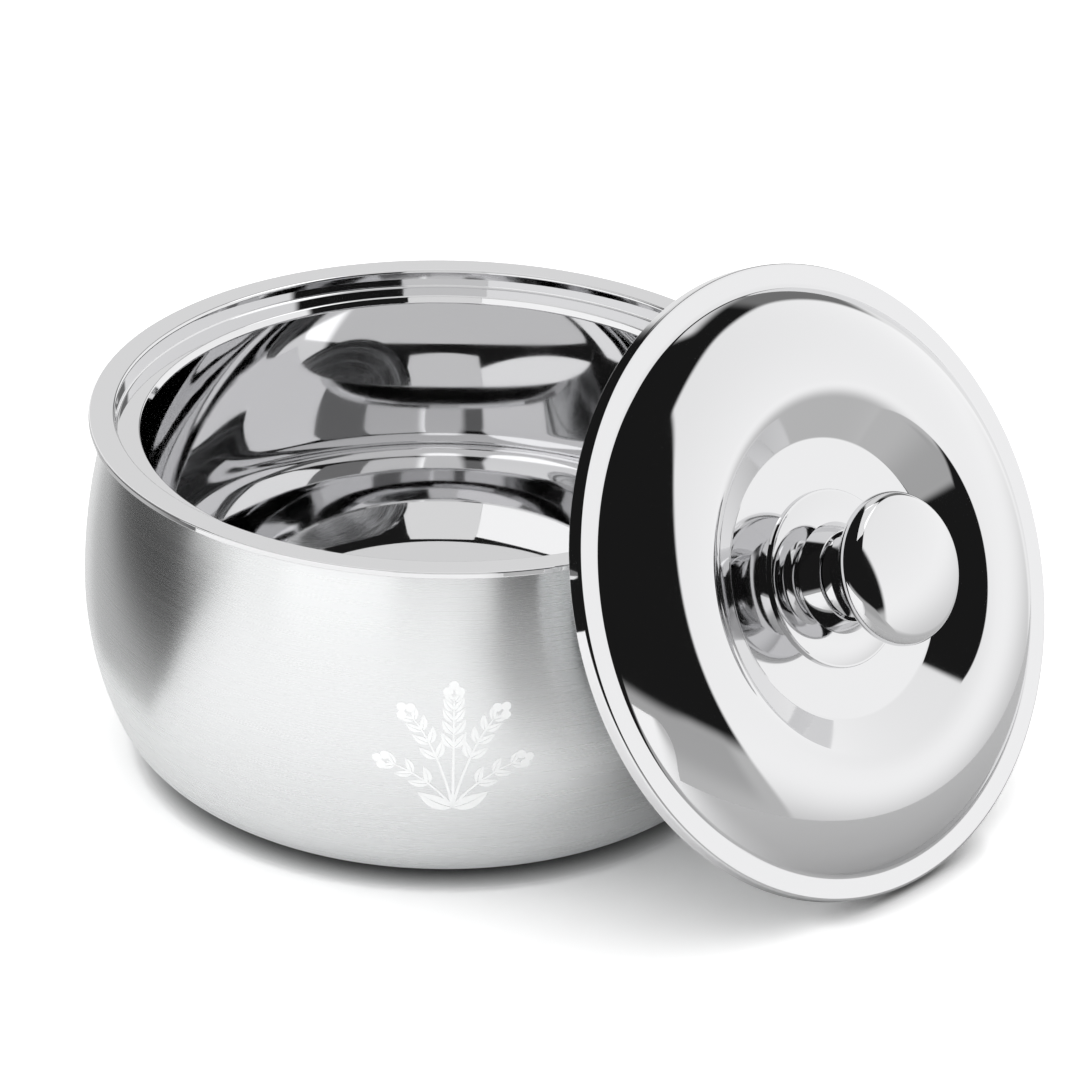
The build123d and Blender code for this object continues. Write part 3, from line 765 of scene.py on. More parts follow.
@dataclass
class Sprig:
    """A frosted etching on the shell: five leafy stems that fan out from one foot, berries at their tips."""

    bowl: Bowl
    finish: bpy.types.Material
    heading: float = -87.0  # degrees round the bowl, from +X
    foot_height: float = 36.0
    stems: tuple[tuple[float, float, int], ...] = (
        (0.0, 40.0, 5),
        (-13.5, 33.5, 4),
        (13.5, 33.5, 4),
        (-20.0, 17.0, 3),
        (20.0, 17.0, 3),
    )  # where each stem ends, sideways and upwards, and its pairs of leaves
    samples: tuple[int, int, int] = (32, 16, 18)  # steps along a stem, along a leaf, round a berry
    leaf_length: float = 6.6
    leaf_width: float = 2.6
    vein: float = 0.35
    vein_share: float = 0.9  # most of a leaf's half width that the vein may take
    stem_width: float = 0.9
    stem_taper: float = 0.6  # share of its width that a stem loses by its tip
    stem_bend: float = 1.2  # power of the way up that its sideways place grows with
    leafy: tuple[float, float] = (0.44, 0.46)  # fraction of a stem below its leaves and beside them
    leaf_scale: tuple[float, float] = (1.2, 0.45)  # leaf length at a stem's foot, and its loss to the tip
    leaf_turn: float = 0.85  # of a leaf off its stem, in radians
    leaf_bend: float = 0.5  # of a leaf from foot to tip, in radians
    foot_leaf: tuple[float, float] = (1.32, 1.9)  # turn off the upright and length, in leaf lengths
    foot_leaf_rise: float = 0.5
    berry: float = 1.5
    pinhole: float = 0.02  # of a berry's radius
    berries: tuple[tuple[float, float], ...] = (
        (0.0, 2.2),
        (0.95, 1.5),
        (-0.95, 1.5),
    )  # each one's turn off the stem's tip, in radians, and its way from there, in berry radii
    lift: float = 0.05
    thickness: float = 0.04

    def stem(self, end: tuple[float, float], t: np.ndarray) -> tuple[np.ndarray, np.ndarray]:
        """Centre line of a stem and its direction: it rises from the foot and bends outwards.

        Sideways it is end x times t^stem_bend, upwards it is end y times (1.5 t - 0.5 t^2).

        Args:
            end: Sideways and upward place of its tip, in millimetres.
            t: Fractions of the way up.

        Returns:
            Points and unit directions, flat, in millimetres.
        """
        points = np.stack([end[0] * t**self.stem_bend, end[1] * (1.5 * t - 0.5 * t**2)], axis=-1)
        ways = np.stack([self.stem_bend * end[0] * t ** (self.stem_bend - 1), end[1] * (1.5 - t)], axis=-1)
        return points, ways / np.linalg.norm(ways, axis=-1, keepdims=True)

    def ribbon(self, centre: np.ndarray, way: np.ndarray, low: np.ndarray, high: np.ndarray) -> np.ndarray:
        """Grid of a flat strip.

        Args:
            centre: Points of its centre line.
            way: Unit directions of that line.
            low: How far the right edge stands off it.
            high: How far the left edge stands off it.

        Returns:
            Grid of its points.
        """
        normal = np.stack([-way[..., 1], way[..., 0]], axis=-1)
        return np.stack([centre + low[..., None] * normal, centre + high[..., None] * normal], axis=1)

    def leaf(self, root: np.ndarray, angle: float, length: float, bend: float) -> list[np.ndarray]:
        """Two blades of a leaf either side of a bare vein.

        The width grows as sin(pi s^0.8) along the leaf, and the leaf's line bends by a steady angle.

        Args:
            root: Flat place of its foot.
            angle: Heading of its foot in radians.
            length: Length in millimetres.
            bend: Turn of the line from foot to tip, in radians.

        Returns:
            The grids of the two blades.
        """
        count = self.samples[1]
        s = np.linspace(0, 1, count + 1)
        heading = angle + bend * s
        way = np.stack([np.cos(heading), np.sin(heading)], axis=-1)
        walked = np.cumsum((way[1:] + way[:-1]) / 2, axis=0)
        centre = root + np.vstack([np.zeros(2), walked]) * length / count
        half = self.leaf_width / 2 * length / self.leaf_length * np.sin(np.pi * s**0.8)
        vein = np.minimum(self.vein / 2 * (1 - s), half * self.vein_share)
        return [self.ribbon(centre, way, vein, half), self.ribbon(centre, way, -half, -vein)]

    def disc(self, centre: np.ndarray, radius: float) -> np.ndarray:
        """Grid of a small round berry: a pinhole ring and its edge.

        Args:
            centre: Flat place of its middle.
            radius: Radius in millimetres.

        Returns:
            Grid of its points.
        """
        turn = np.linspace(0, 2 * np.pi, self.samples[2] + 1)[:, None]
        rings = np.array([self.pinhole, 1.0])[None, :] * radius
        return centre + np.stack([rings * np.cos(turn), rings * np.sin(turn)], axis=-1)

    def grids(self) -> list[np.ndarray]:
        """Every flat grid of the sprig, x to the right and y up from the foot.

        Returns:
            The grids.
        """
        made = []
        for across, up, pairs in self.stems:
            t = np.linspace(0.0, 1.0, self.samples[0] + 1)
            points, ways = self.stem((across, up), t)
            half = self.stem_width / 2 * (1 - self.stem_taper * t)
            made.append(self.ribbon(points, ways, -half, half))
            for number in range(pairs):
                at = self.leafy[0] + self.leafy[1] * number / (pairs - 1)
                root, way = self.stem((across, up), np.array([at]))
                heading = math.atan2(way[0, 1], way[0, 0])
                size = self.leaf_length * (self.leaf_scale[0] - self.leaf_scale[1] * at)
                for hand in (-1.0, 1.0):
                    made += self.leaf(root[0], heading + self.leaf_turn * hand, size, -self.leaf_bend * hand)
            tip, way = self.stem((across, up), np.array([1.0]))
            for turn, reach in self.berries:
                ahead = math.atan2(way[0, 1], way[0, 0]) + turn
                place = tip[0] + self.berry * reach * np.array([math.cos(ahead), math.sin(ahead)])
                made.append(self.disc(place, self.berry))
        turn, size = self.foot_leaf[0], self.foot_leaf[1] * self.leaf_length
        for hand in (-1.0, 1.0):
            root = np.array([0.0, self.foot_leaf_rise])
            made += self.leaf(root, math.pi / 2 - turn * hand, size, self.leaf_bend * hand)
        return made

    def build(self) -> bpy.types.Object:
        """Wraps the flat grids on the shell and gives them a hair's thickness.

        Returns:
            The piece.
        """
        flats, quads, count = [], [], 0
        for grid in self.grids():
            rows, columns = grid.shape[:2]
            index = count + np.arange(rows * columns).reshape(rows, columns)
            around = [index[:-1, :-1], index[:-1, 1:], index[1:, 1:], index[1:, :-1]]
            quads.append(np.stack(around, axis=-1).reshape(-1, 4))
            flats.append(grid.reshape(-1, 2))
            count += rows * columns
        flat = np.vstack(flats)
        turn = math.radians(self.heading) + flat[:, 0] / self.bowl.belly.widest[0]
        points = self.bowl.surface(turn, self.foot_height + flat[:, 1], self.lift)
        faces = np.vstack(quads)
        spans = points[faces]
        facing = np.cross(spans[:, 2] - spans[:, 0], spans[:, 3] - spans[:, 1])  # of its diagonals
        inward = (facing * spans.mean(axis=1) * [1, 1, 0]).sum(axis=1) < 0
        faces[inward] = faces[inward][:, ::-1]
        mesh = bpy.data.meshes.new("etched_sprig")
        mesh.from_pydata(points.tolist(), [], faces.tolist())
        mesh.update()
        piece = put("etched_sprig", mesh)
        solid = piece.modifiers.new("thickness", "SOLIDIFY")
        solid.thickness = MM * self.thickness
        solid.offset = -1
        dress(piece, self.finish)
        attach(piece, self.bowl.body)
        log.info("%s has %d faces", piece.name, len(faces))
        return piece


# ---------------------------------------------------------------- lid


@dataclass
class Lid:
    """Loose lid: domed sheet with a well, inner pan, and the knob's collar, stem and head."""

    finishes: dict[str, bpy.types.Material]
    along: np.ndarray
    backing_centre: np.ndarray
    body: str = "lid"
    sheet: float = 0.7
    radius: float = 98.0
    skirt_depth: float = 5.0
    skirt_corner: float = 1.0
    skirt_hem: float = 3.4
    hem_gap: float = 0.1
    lip_corner: float = 0.5
    dome_radius: float = 90.6
    dome_fillet: float = 2.2
    flange_rise: float = 0.2
    crown_radius: float = 60.2
    crown_height: float = 15.8
    crown_roll: float = 10.0
    well_radius: float = 43.2
    well_height: float = 6.0
    well_fillet: float = 1.5
    bore: float = 2.7
    backing_thickness: float = 1.0
    liner_radius: float = 92.0
    liner_depth: float = 6.6
    liner_fillet: float = 1.6
    panel_radius: float = 81.0
    panel_slope: float = 3.0
    panel_depth: float = 1.2
    panel_fillet: float = 1.0
    bead_inset: float = 14.0
    bead_size: float = 1.2
    collar_radius: float = 27.5
    collar_edge: float = 1.2
    collar_bead: float = 0.8
    collar_height: float = 2.6
    collar_wall: float = 1.0
    stem_foot: float = 17.2
    stem_foot_height: float = 5.6
    stem_taper: float = 3.0
    stem_step: float = 1.4
    stem_waist: float = 10.8
    stem_top: float = 15.0
    stem_height: float = 21.2
    head_radius: float = 23.5
    head_undercut: float = 2.0
    head_rim_lift: float = 0.8
    head_rim_depth: float = 3.2
    head_crown: float = 9.0
    head_shoulder: float = 5.5
    head_corner: float = 0.5
    axis: Axis = field(init=False)

    def __post_init__(self) -> None:
        """Finds the lid's axis: its backing plate's middle lies a known height above the flange."""
        along = self.along / np.linalg.norm(self.along)
        middle = MM * (self.well_height - self.sheet - self.backing_thickness / 2)
        side = np.array([-along[1], along[0], 0.0])
        side /= np.linalg.norm(side)
        self.axis = Axis(self.backing_centre - middle * along, side, np.cross(along, side), along)

    def dome_path(self, outline: Outline, inset: float, fillets: float) -> Outline:
        """Draws well floor, cone, rolled crown and dome from the bore to the dome's foot.

        The cone touches the rolled crown, so its slope is the bearing of the roll's centre from the
        well's edge plus the angle whose sine is roll radius over the distance between the two.  The
        dome is level where it leaves the crown; its radius is (run^2 + fall^2) / (2 fall).

        Args:
            outline: Outline whose pen is at the bore.
            inset: Distance below the outer face.
            fillets: 1 to round the crease and the well's edge, 0 to leave them sharp.

        Returns:
            The outline.
        """
        well = (self.well_radius, self.well_height)
        roll = np.array([self.crown_radius, self.crown_height - self.crown_roll])
        gap = roll - well
        reach = math.hypot(*gap)
        cone = math.atan2(gap[1], gap[0]) + math.asin(self.crown_roll / reach)
        run, fall = self.dome_radius - self.crown_radius, self.crown_height - self.flange_rise
        curve = (run**2 + fall**2) / (2 * fall)
        dome_centre = (self.crown_radius, self.crown_height - curve)
        into = np.array([math.sin(cone), -math.cos(cone)])
        shift = inset * math.tan(cone / 2)
        top = roll - (self.crown_roll - inset) * into
        outline.lines((well[0] + shift, well[1] - inset), (*top, fillets * self.well_fillet))
        outline.arc(tuple(roll), -math.degrees(cone))
        return outline.arc(dome_centre, -math.degrees(math.asin(run / curve)))

    def dome(self) -> Outline:
        """The outer sheet, its skirt folded in under the pan's flange.

        Returns:
            Its profile.
        """
        sheet, hem = self.sheet, self.radius - self.skirt_hem
        outline = Outline(self.bore, self.well_height - sheet, HIDDEN_STEP)
        self.dome_path(outline, sheet, 0)
        outline.lines(
            (self.radius - sheet, -sheet),
            (self.radius - sheet, -self.skirt_depth + sheet),
            (hem, -self.skirt_depth + sheet),
            (hem, -self.skirt_depth),
        )
        outline.step = FILLET_STEP
        outline.lines(
            (self.radius, -self.skirt_depth),
            (self.radius, 0, self.lip_corner),
            (self.dome_radius, self.flange_rise, self.skirt_corner),
        )
        over = self.dome_path(Outline(self.bore, self.well_height, FINE_STEP), 0.0, 1)
        outline.step = ARC_STEP
        return outline.join(over.back(), self.dome_fillet).close()

    def liner(self) -> Outline:
        """The pan inside the lid: flange, trough, and a raised panel with a bead pressed in it.

        Past the panel's slope the upper face is shifted by the sheet times the tangent of half the
        slope's angle, which keeps the sheet's thickness.

        Returns:
            Its profile.
        """
        sheet, low, panel = self.sheet, -self.liner_depth, -self.panel_depth
        wall, flange = self.liner_radius, -self.skirt_depth + sheet
        edge = self.radius - sheet - self.hem_gap
        bead = self.panel_radius - self.bead_inset
        outline = Outline(0, panel, SHORT_STEP).lines((bead - self.bead_size, panel))
        outline.arc((bead, panel), -180)
        shift = sheet * math.tan(math.atan2(panel - low, self.panel_slope) / 2)
        outline.lines(
            (self.panel_radius, panel),
            (self.panel_radius + self.panel_slope, low, self.panel_fillet),
            (wall, low, self.panel_fillet),
            (wall, flange, self.liner_fillet),
            (edge, flange),
            (edge, flange + sheet),
            (wall - sheet, flange + sheet),
            (wall - sheet, low + sheet),
            (self.panel_radius + self.panel_slope + shift, low + sheet),
            (self.panel_radius + shift, panel + sheet),
        )
        outline.step = COARSE_STEP
        over = math.sqrt((self.bead_size + sheet) ** 2 - sheet**2)
        outline.lines((bead + over, panel + sheet))
        outline.arc((bead, panel), 180 - 2 * math.degrees(math.asin(sheet / (self.bead_size + sheet))))
        return outline.lines((0, panel + sheet))

    def collar(self) -> Outline:
        """The pressed collar: upright edge, small bead and low dome.

        The dome is level at the stem; its radius is (run^2 + fall^2) / (2 fall).

        Returns:
            Its profile.
        """
        top, edge = self.well_height + self.collar_height, self.well_height + self.collar_edge
        radius, wall, shoulder = self.collar_radius, self.collar_wall, self.collar_radius - self.collar_bead
        run, fall = shoulder - self.stem_foot, top - edge
        curve = (run**2 + fall**2) / (2 * fall)
        outline = Outline(self.bore, top - wall, HIDDEN_STEP)
        outline.lines(
            (self.stem_foot, top - wall), (radius - wall, edge - wall / 2), (radius - wall, self.well_height)
        )
        outline.step = SHORT_STEP
        outline.lines((radius, self.well_height), (radius, edge), (shoulder, edge, self.collar_bead / 2))
        outline.step = FINE_STEP
        outline.arc((self.stem_foot, top - curve), math.degrees(math.asin(run / curve)))
        return outline.lines((self.bore, top)).close()

    def stem(self) -> Outline:
        """The turned stem: tapered foot, step, and a waist that flares under the head.

        The waist is an arc through the step, the narrowest ring halfway up, and the top.

        Returns:
            Its profile.
        """
        low = self.well_height + self.collar_height
        shoulder, top = low + self.stem_foot_height, low + self.stem_height
        foot_top = self.stem_foot - self.stem_taper
        neck = np.array([foot_top - self.stem_step, shoulder])
        waist = np.array([self.stem_waist, (shoulder + top) / 2])
        end = np.array([self.stem_top, top])
        centre = circle_centre(neck, waist, end)
        spokes = np.array([neck, end]) - centre
        angles = np.degrees(np.arctan2(spokes[:, 1], spokes[:, 0])) % 360
        outline = Outline(self.bore, low, SHORT_STEP)
        outline.lines((self.stem_foot, low), (foot_top, shoulder), (*neck, self.head_corner))
        outline.step = ARC_STEP
        return outline.arc(tuple(centre), angles[1] - angles[0]).lines((self.bore, top)).close()

    def head(self) -> Outline:
        """The mushroom head: undercut rim, shoulder and low crown.

        The undercut is upright at the widest ring.  The crown touches the shoulder's arc, so with
        reach a, height h and shoulder r its radius is (a^2 + h^2 - r^2) / (2 (h - r)).

        Returns:
            Its profile.
        """
        undercut, depth, round_off = self.head_undercut, self.head_rim_depth, self.head_shoulder
        seat = self.well_height + self.collar_height + self.stem_height
        rim = (self.head_radius - undercut, seat + self.head_rim_lift)
        widest, reach = rim[1] + depth, self.head_radius - round_off
        side = (undercut**2 + depth**2) / (2 * undercut)
        crown = (reach**2 + self.head_crown**2 - round_off**2) / (2 * (self.head_crown - round_off))
        crown_centre = widest + self.head_crown - crown
        joint = math.degrees(math.atan2(widest - crown_centre, reach))
        outline = Outline(0, seat, ARC_STEP).lines((self.stem_top, seat), rim)
        turn = math.degrees(math.asin(depth / side))
        outline.arc((self.head_radius - side, widest), turn, corner=self.head_corner)
        outline.arc((reach, widest), joint)
        outline.step = FINE_STEP
        outline.arc((0, crown_centre), 90 - joint)
        outline.stretches[-1].points[-1, 0] = 0.0
        return outline

    def build(self) -> list[bpy.types.Object]:
        """Makes and dresses the lid's pieces.

        Returns:
            The pieces.
        """
        profiles = {
            "lid_dome_mirror": (self.dome(), Turns.LARGE, "polished_steel", "lid_dome"),
            "lid_liner_satin": (self.liner(), Turns.LARGE, "satin_steel", "lid_liner"),
            "knob_collar_mirror": (self.collar(), Turns.LARGE, "polished_steel", "knob_collar"),
            "knob_stem_mirror": (self.stem(), Turns.SMALL, "polished_steel", "knob_stem"),
            "knob_head_mirror": (self.head(), Turns.SMALL, "polished_steel", "knob_head"),
        }
        return fit(profiles, self.axis, self.finishes, self.body)


def circle_centre(a: np.ndarray, b: np.ndarray, c: np.ndarray) -> np.ndarray:
    """Centre of the circle through three points, which is equally far from all of them.

    Args:
        a: First point.
        b: Second point.
        c: Third point.

    Returns:
        The centre.
    """
    sides = 2 * np.stack([b - a, c - a])
    return np.linalg.solve(sides, np.array([b @ b - a @ a, c @ c - a @ a]))


# ---------------------------------------------------------------- studio


class Audience(Enum):
    """Which pieces a lamp lights; the world lights them all."""

    BOWL = "bowl"
    KNOB = "knob"


@dataclass(frozen=True)
class Panel:
    """A card or softbox far off, as it stands in the sky round the object.

    Heading 0 is where the camera stands, +90 is to its right, and elevations count from the horizon,
    all in degrees.  The corners go round the panel clockwise as the object sees it and are joined by
    great circles, which must bound a convex patch; two corners alone bound the half of the sky on the
    right of the way from the first to the second.  The brightness runs from the first level just below
    the horizon to the second near the zenith.
    """

    name: str
    corners: tuple[tuple[float, float], ...]
    levels: tuple[float, float]
    soft: float = 1.5
    low: tuple[float, float] = (-90.0, 1.0)  # elevation of its lower edge and half the width of the fade
    high: tuple[float, float] = (90.0, 1.0)  # the same for its upper edge


@dataclass(frozen=True)
class Softbox:
    """An upright lamp panel that only some pieces reflect, from one heading and elevation to others.

    Headings run clockwise from above, and a lower edge of 0 stands on the floor.
    """

    name: str
    audience: Audience
    headings: tuple[float, float]
    elevations: tuple[float, float]
    level: float
    distance: float = 1.4


def patch(left: float, right: float, low: float, high: float) -> tuple[tuple[float, float], ...]:
    """Corners of a panel between two headings and two elevations, in degrees.

    Args:
        left: Heading of its first side.
        right: Heading of its other side, clockwise from there.
        low: Elevation of its lower corners.
        high: Elevation of its upper corners.

    Returns:
        The corners.
    """
    return ((left, low), (left, high), (right, high), (right, low))


FULL_TURN = 360.0
ZENITH = 90.0  # degrees; a panel whose edge lies there, or at the nadir, has no edge
KEY_CORNERS = ((57, -60), (57, 47), (69, 71), (140, 61), (154, 38), (154, -60))


def ray(heading: float, elevation: float) -> np.ndarray:
    """Unit vector to a place in the sky, from its heading and elevation in degrees."""
    turn, lift = math.radians(heading), math.radians(elevation)
    return np.array([math.cos(lift) * math.sin(turn), -math.cos(lift) * math.cos(turn), math.sin(lift)])


@dataclass
class Studio:
    """Pale floor, a world of large soft panels, lamps for single bodies, and the camera."""

    floor_size: float = 6.0
    table_outline: tuple[tuple[float, float], ...] = (
        (-180.0, 0.26),
        (-150.0, 0.15),
        (-73.0, 0.15),
        (-61.0, 1.2),
        (6.0, 1.2),
        (18.0, 0.26),
        (180.0, 0.26),
    )  # its radius at some headings, joined by straight changes
    floor_drop: float = 0.0001
    floor_steps: int = 288
    painted_floor_light: tuple[float, float] = (1.15, 0.62)  # painted light that metal sees: the left brighter than white, the right painted grey
    painted_light_turn: tuple[float, float] = (0.06, 0.13)  # from where to where on the X axis the painted bright side becomes the painted grey side
    floor_white: float = 1.45  # brightness of the open floor for a camera ray
    painted_shadow_reach: float = 0.008  # how far off the object the painted contact shadow still darkens the floor for a camera ray
    room_level: float = 0.012
    level_span: tuple[float, float] = (-0.2, 0.95)  # sines of the elevations that a panel's levels hold at
    plain_levels: tuple[float, float] = (0.5, 1.5)  # what lights matt surfaces, at the horizon and overhead
    focal_pixels: float = 6000.0
    frame_pixels: float = 1080.0
    sensor_mm: float = 36.0
    clip: tuple[float, float] = (0.05, 50.0)
    elevation: float = 27.34
    roll: float = 1.14
    distance: float = 1.8732
    target_height: float = 0.1165
    target_pixel: tuple[float, float] = (-95.4, -131.7)  # of the rim's centre from the frame's middle
    lamp_lift: float = 0.002  # of a lamp off the floor
    panels: tuple[Panel, ...] = (
        Panel("floor_left", ((-90, -28), (0, -10)), (0.58, 0.6), 4.0, high=(1.5, 3.0)),
        Panel("floor_haze", patch(-50, 48, -30, 10), (0.46, 0.4), 4.0, (-17.0, 7.0), (1.5, 3.0)),
        Panel("corner", patch(150, 172, -40, 40), (0.2, 0.2), 4.0, (-30.0, 6.0), (55.0, 8.0)),
        Panel("backdrop", patch(168, -162, -40, 60), (0.85, 0.85), 3.0, (-30.0, 8.0)),
        Panel("floor_back", patch(146, -150, -45, 20), (0.9, 1.05), 4.0, high=(6.0, 4.0)),
        Panel("key", KEY_CORNERS, (1.16, 1.0), 1.5, low=(-16.0, 20.0)),
    )
    softboxes: tuple[Softbox, ...] = (
        Softbox("front_left_for_bowl", Audience.BOWL, (-84.0, -14.0), (0.0, 52.0), 1.15),
        Softbox("side_for_bowl", Audience.BOWL, (-122.0, -84.0), (0.0, 52.0), 0.22),
        Softbox("front_for_bowl", Audience.BOWL, (-14.0, 17.0), (0.0, 52.0), 0.85),
        Softbox("left_for_bowl", Audience.BOWL, (-165.0, -122.0), (0.0, 52.0), 0.8),
        Softbox("ceiling_for_bowl", Audience.BOWL, (0.0, 360.0), (56.0, 90.0), 0.8),
        Softbox("ceiling_for_knob", Audience.KNOB, (20.0, 180.0), (64.0, 90.0), 0.95),
    )

    def camera(self) -> None:
        """Camera that puts the rim's centre on its pixel.

        It stands back from that centre along its view, and aside by the pixel's offset times distance
        over focal length.  The lens is the focal length in frame widths times the sensor's width.
        """
        tilt, roll = math.radians(self.elevation), math.radians(self.roll)
        forward = np.array([0.0, math.cos(tilt), -math.sin(tilt)])
        right = np.array([1.0, 0.0, 0.0])
        up = np.cross(right, forward)
        side = math.cos(roll) * right + math.sin(roll) * up
        top = -math.sin(roll) * right + math.cos(roll) * up
        slide = self.distance / self.focal_pixels
        place = np.array([0.0, 0.0, self.target_height]) - forward * self.distance
        place -= side * self.target_pixel[0] * slide
        place += top * self.target_pixel[1] * slide
        data = bpy.data.cameras.new("camera")
        data.sensor_width = self.sensor_mm
        data.lens = self.focal_pixels / self.frame_pixels * self.sensor_mm
        data.clip_start, data.clip_end = self.clip
        bpy.context.scene.camera = put("camera", data, (side, top, -forward), place)

    def floor_material(self) -> bpy.types.Material:
        """Matt paper: white for the camera with a painted contact shadow near the object, and for metal
        painted light, bright on the left to grey on the right.
        """
        material, tree = new_tree("pale_floor")
        place = add_node(tree, "ShaderNodeTexCoord").outputs["Object"]
        across = add_node(tree, "ShaderNodeSeparateXYZ", {0: place}).outputs[0]
        # painted light for metal: the floor's tone runs from brighter than white on the left to grey on the
        # right
        span = (across, *self.painted_light_turn, *self.painted_floor_light)
        painted_light_tone = add_node(tree, "ShaderNodeMapRange", span, interpolation_type="SMOOTHSTEP").outputs[0]
        seen = add_node(tree, "ShaderNodeLightPath").outputs["Is Camera Ray"]
        # painted contact shadow: for a camera ray the white floor is darkened by ambient occlusion near the
        # object, on top of its real shading
        white = {"Color": (*[self.floor_white] * 3, 1.0), "Distance": self.painted_shadow_reach}
        painted_contact_shadow = add_node(tree, "ShaderNodeAmbientOcclusion", white).outputs["Color"]
        colour = add_node(tree, "ShaderNodeMixRGB", (seen, painted_light_tone, painted_contact_shadow))
        finish_tree(tree, add_node(tree, "ShaderNodeBsdfDiffuse", (colour.outputs[0],)))
        return material

    def floor(self) -> None:
        """A table top, which metal reflects, and the floor round it, which it doesn't.

        The table's edge is a ring of points whose radius goes straight from one outline point to the
        next; the top is a fan from its middle, and the floor a band from there to a wide circle.
        """
        material = self.floor_material()
        turn = np.linspace(-np.pi, np.pi, self.floor_steps + 1)[:-1]
        ring = np.stack([np.sin(turn), -np.cos(turn)], axis=-1)
        radius = np.interp(np.degrees(turn), *np.transpose(self.table_outline))
        flat = np.vstack([radius[:, None] * ring, self.floor_size / 2 * ring])
        points = np.hstack([flat, np.full((len(flat), 1), -self.floor_drop)])
        count = len(ring)
        here, there = np.arange(count), (np.arange(count) + 1) % count
        around = np.stack([here, here + count, there + count, there], axis=-1)
        middle = np.vstack([points[:count], [[0.0, 0.0, -self.floor_drop]]])
        fan = np.stack([here, there, np.full(count, count)], axis=-1)
        table = self.stage_piece("table", middle, fan.tolist(), material)
        surround = self.stage_piece("floor", points, around.tolist(), material)
        surround.visible_glossy = False
        log.info("floor of %s and %s", table.name, surround.name)

    def stage_piece(
        self, name: str, points: np.ndarray, faces: list[list[int]], material: bpy.types.Material
    ) -> bpy.types.Object:
        """Makes one piece of the stage.

        Args:
            name: Its name.
            points: Its vertices in metres.
            faces: Vertex numbers of its faces.
            material: Its material.

        Returns:
            The piece.
        """
        mesh = bpy.data.meshes.new(name)
        mesh.from_pydata(points.tolist(), [], faces)
        piece = put(name, mesh)
        dress(piece, material)
        return piece

    def fade(self, tree: bpy.types.NodeTree, sine: Any, low: float, high: float) -> Any:
        """Smooth step of an angle, given by its sine, from 0 at the low angle to 1 at the high one.

        Args:
            tree: Node tree of the world.
            sine: Output socket with the angle's sine.
            low: First angle in degrees.
            high: Second angle in degrees.

        Returns:
            Output socket of the step.
        """
        angle = add_node(tree, "ShaderNodeMath", (sine,), operation="ARCSINE").outputs[0]
        span = (angle, math.radians(low), math.radians(high), 0.0, 1.0)
        return add_node(tree, "ShaderNodeMapRange", span, interpolation_type="SMOOTHSTEP").outputs[0]

    def mask(self, tree: bpy.types.NodeTree, direction: Any, height: Any, panel: Panel) -> Any:
        """Where a panel covers the sky: 1 inside all its edges, 0 outside, soft between.

        The angle of the direction past an edge is the arc sine of its dot product with the normal of
        the edge's plane; the smooth steps of all the edges are multiplied.

        Args:
            tree: Node tree of the world.
            direction: Output socket with the direction looked in.
            height: Output socket with that direction's sine of elevation.
            panel: The panel.

        Returns:
            Output socket of the mask.
        """
        ring = [ray(*corner) for corner in panel.corners]
        steps = []
        for here, there in list(zip(ring, ring[1:] + ring[:1]))[: 1 if len(ring) == 2 else None]:
            inward = np.cross(there, here)
            pair = (direction, tuple((inward / np.linalg.norm(inward)).tolist()))
            past = add_node(tree, "ShaderNodeVectorMath", pair, operation="DOT_PRODUCT").outputs["Value"]
            steps.append(self.fade(tree, past, -panel.soft, panel.soft))
        for (middle, half), hand in ((panel.low, 1), (panel.high, -1)):
            if abs(middle) < ZENITH:
                steps.append(self.fade(tree, height, middle - hand * half, middle + hand * half))
        product = steps[0]
        for step in steps[1:]:
            product = add_node(tree, "ShaderNodeMath", (product, step), operation="MULTIPLY").outputs[0]
        return product

    def world(self) -> None:
        """White for the camera, plain for matt surfaces, and for metal a dark room with the panels.

        What matt surfaces get goes from one level to the other with the square of the elevation's sine.
        """
        world = bpy.data.worlds.new("studio")
        world.use_nodes = True
        world.cycles.sampling_method = "NONE"
        tree = world.node_tree
        tree.nodes.clear()
        direction = add_node(tree, "ShaderNodeTexCoord").outputs["Generated"]
        height = add_node(tree, "ShaderNodeSeparateXYZ", {0: direction}).outputs[2]
        colour = add_node(tree, "ShaderNodeRGB")
        colour.outputs[0].default_value = (self.room_level,) * 3 + (1.0,)
        for panel in self.panels:
            level = add_node(tree, "ShaderNodeMapRange", (height, *self.level_span, *panel.levels))
            cover = self.mask(tree, direction, height, panel)
            colour = add_node(tree, "ShaderNodeMixRGB", (cover, colour.outputs[0], level.outputs[0]))
        path = add_node(tree, "ShaderNodeLightPath").outputs
        squared = add_node(tree, "ShaderNodeMath", (height, height), operation="MULTIPLY").outputs[0]
        plain = add_node(tree, "ShaderNodeMapRange", (squared, 0.0, 1.0, *self.plain_levels)).outputs[0]
        lit = add_node(tree, "ShaderNodeMixRGB", (path["Is Glossy Ray"], plain, colour.outputs[0]))
        seen = add_node(tree, "ShaderNodeMixRGB", (path["Is Camera Ray"], lit.outputs[0], (1.0,) * 4))
        background = add_node(tree, "ShaderNodeBackground", {"Color": seen.outputs[0], "Strength": 1.0})
        add_node(tree, "ShaderNodeOutputWorld", {"Surface": background.outputs[0]})
        bpy.context.scene.world = world

    def light(self, audiences: dict[Audience, list[bpy.types.Object]]) -> None:
        """Hangs the softboxes; each is linked to the pieces of its audience, and no camera sees it.

        An area lamp of power P and area A has the radiance P / (pi A).

        Args:
            audiences: The pieces of each audience.
        """
        for audience, pieces in audiences.items():
            receivers = bpy.data.collections.new(f"lit_{audience.value}")
            for piece in pieces:
                receivers.objects.link(piece)
            for box in (box for box in self.softboxes if box.audience is audience):
                lamp = self.hang(box)
                lamp.light_linking.receiver_collection = receivers
                log.info("%s lights %d pieces of the %s", lamp.name, len(pieces), audience.value)

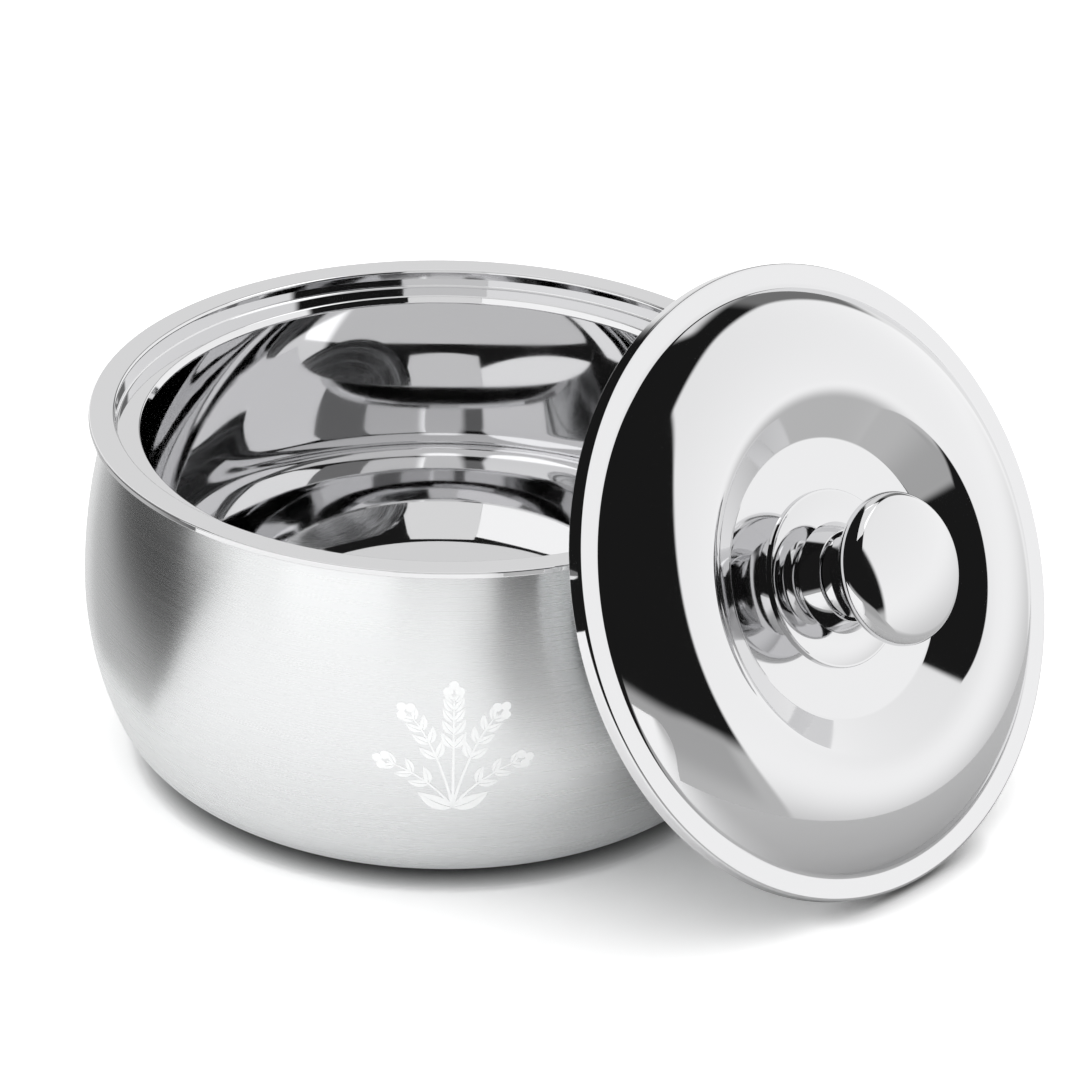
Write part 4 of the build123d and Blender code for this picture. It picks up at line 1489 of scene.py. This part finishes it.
    def hang(self, box: Softbox) -> bpy.types.Object:
        """Makes one softbox: upright at its distance, or flat overhead if it reaches the zenith.

        An upright one is 2 d tan(half its headings) wide and d (tan(high) - tan(low)) tall.  One
        overhead reaches d / tan(low) out: a disc if it goes all round, or else half of the square.

        Args:
            box: The softbox.

        Returns:
            The lamp object.
        """
        low, high = (math.radians(elevation) for elevation in box.elevations)
        away, side = np.array([0.0, 0.0, 1.0]), ray(sum(box.headings) / 2, 0.0)
        data = bpy.data.lights.new(box.name, "AREA")
        data.shape = "RECTANGLE"
        if box.elevations[1] < ZENITH:
            away, side = side, np.cross(away, side)
            half = math.radians(box.headings[1] - box.headings[0]) / 2
            data.size = 2 * box.distance * math.tan(half)
            data.size_y = box.distance * (math.tan(high) - math.tan(low))
            middle = box.distance * math.tan(low) + data.size_y / 2 + self.lamp_lift
            centre = box.distance * away + np.array([0.0, 0.0, middle])
        else:
            reach = box.distance / math.tan(low)
            whole = box.headings[1] - box.headings[0] >= FULL_TURN
            if whole:
                data.shape = "DISK"
            data.size, data.size_y = 2 * reach if whole else reach, 2 * reach
            centre = box.distance * away + (0.0 if whole else reach / 2) * side
        area = data.size * (data.size * math.pi / 4 if data.shape == "DISK" else data.size_y)
        data.energy = box.level * math.pi * area
        lamp = put(box.name, data, (side, np.cross(away, side), away), centre)
        lamp.visible_camera = False
        return lamp

    def build(self) -> None:
        """Sets up camera, world and floor."""
        self.camera()
        self.world()
        self.floor()
        bpy.context.scene.view_settings.view_transform = "Standard"


# ---------------------------------------------------------------- the whole


HIDDEN_NODES = {
    "body_insulation": "foam",
    "lid_insulation": "foam",
    "knob_stud": "zinc_plated_steel",
    "knob_backing_plate": "zinc_plated_steel",
    "knob_lock_washer": "zinc_plated_steel",
    "knob_nut": "zinc_plated_steel",
}


def corners(bounds: Any) -> list[list[float]]:
    """Lowest and highest corner of a box, as plain lists."""
    return [[float(value) for value in corner] for corner in bounds]


def main() -> None:
    """Builds the studio, the bowl, its etching and the lid."""
    logging.basicConfig(level=logging.INFO, format="%(name)s: %(message)s")
    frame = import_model()
    studio = Studio()
    studio.build()
    finishes = {
        "polished_steel": MirrorSteel().build(),
        "satin_steel": SatinSteel().build(),
        "zinc_plated_steel": ZINC_PLATE.build(),
        "foam": FOAM.build(),
        "plug_plastic": PLUG_PLASTIC.build(),
    }
    bowl = Bowl(finishes)
    bowl_pieces = bowl.build()
    etching = Sprig(bowl, ETCHED_STEEL.build()).build()
    low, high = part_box("knob_backing_plate")
    lid_pieces = Lid(finishes, np.array(frame["joints"][0]["axis"]), np.array(low + high) / 2).build()
    knob_pieces = [piece for piece in lid_pieces if piece.name.startswith("knob")]
    studio.light({Audience.BOWL: bowl_pieces + [etching], Audience.KNOB: knob_pieces})
    for node, slot in HIDDEN_NODES.items():
        dress(frame["nodes"][node], finishes[slot])
        log.info("%s keeps its own shape", node)


if __name__ == "__main__":
    main()
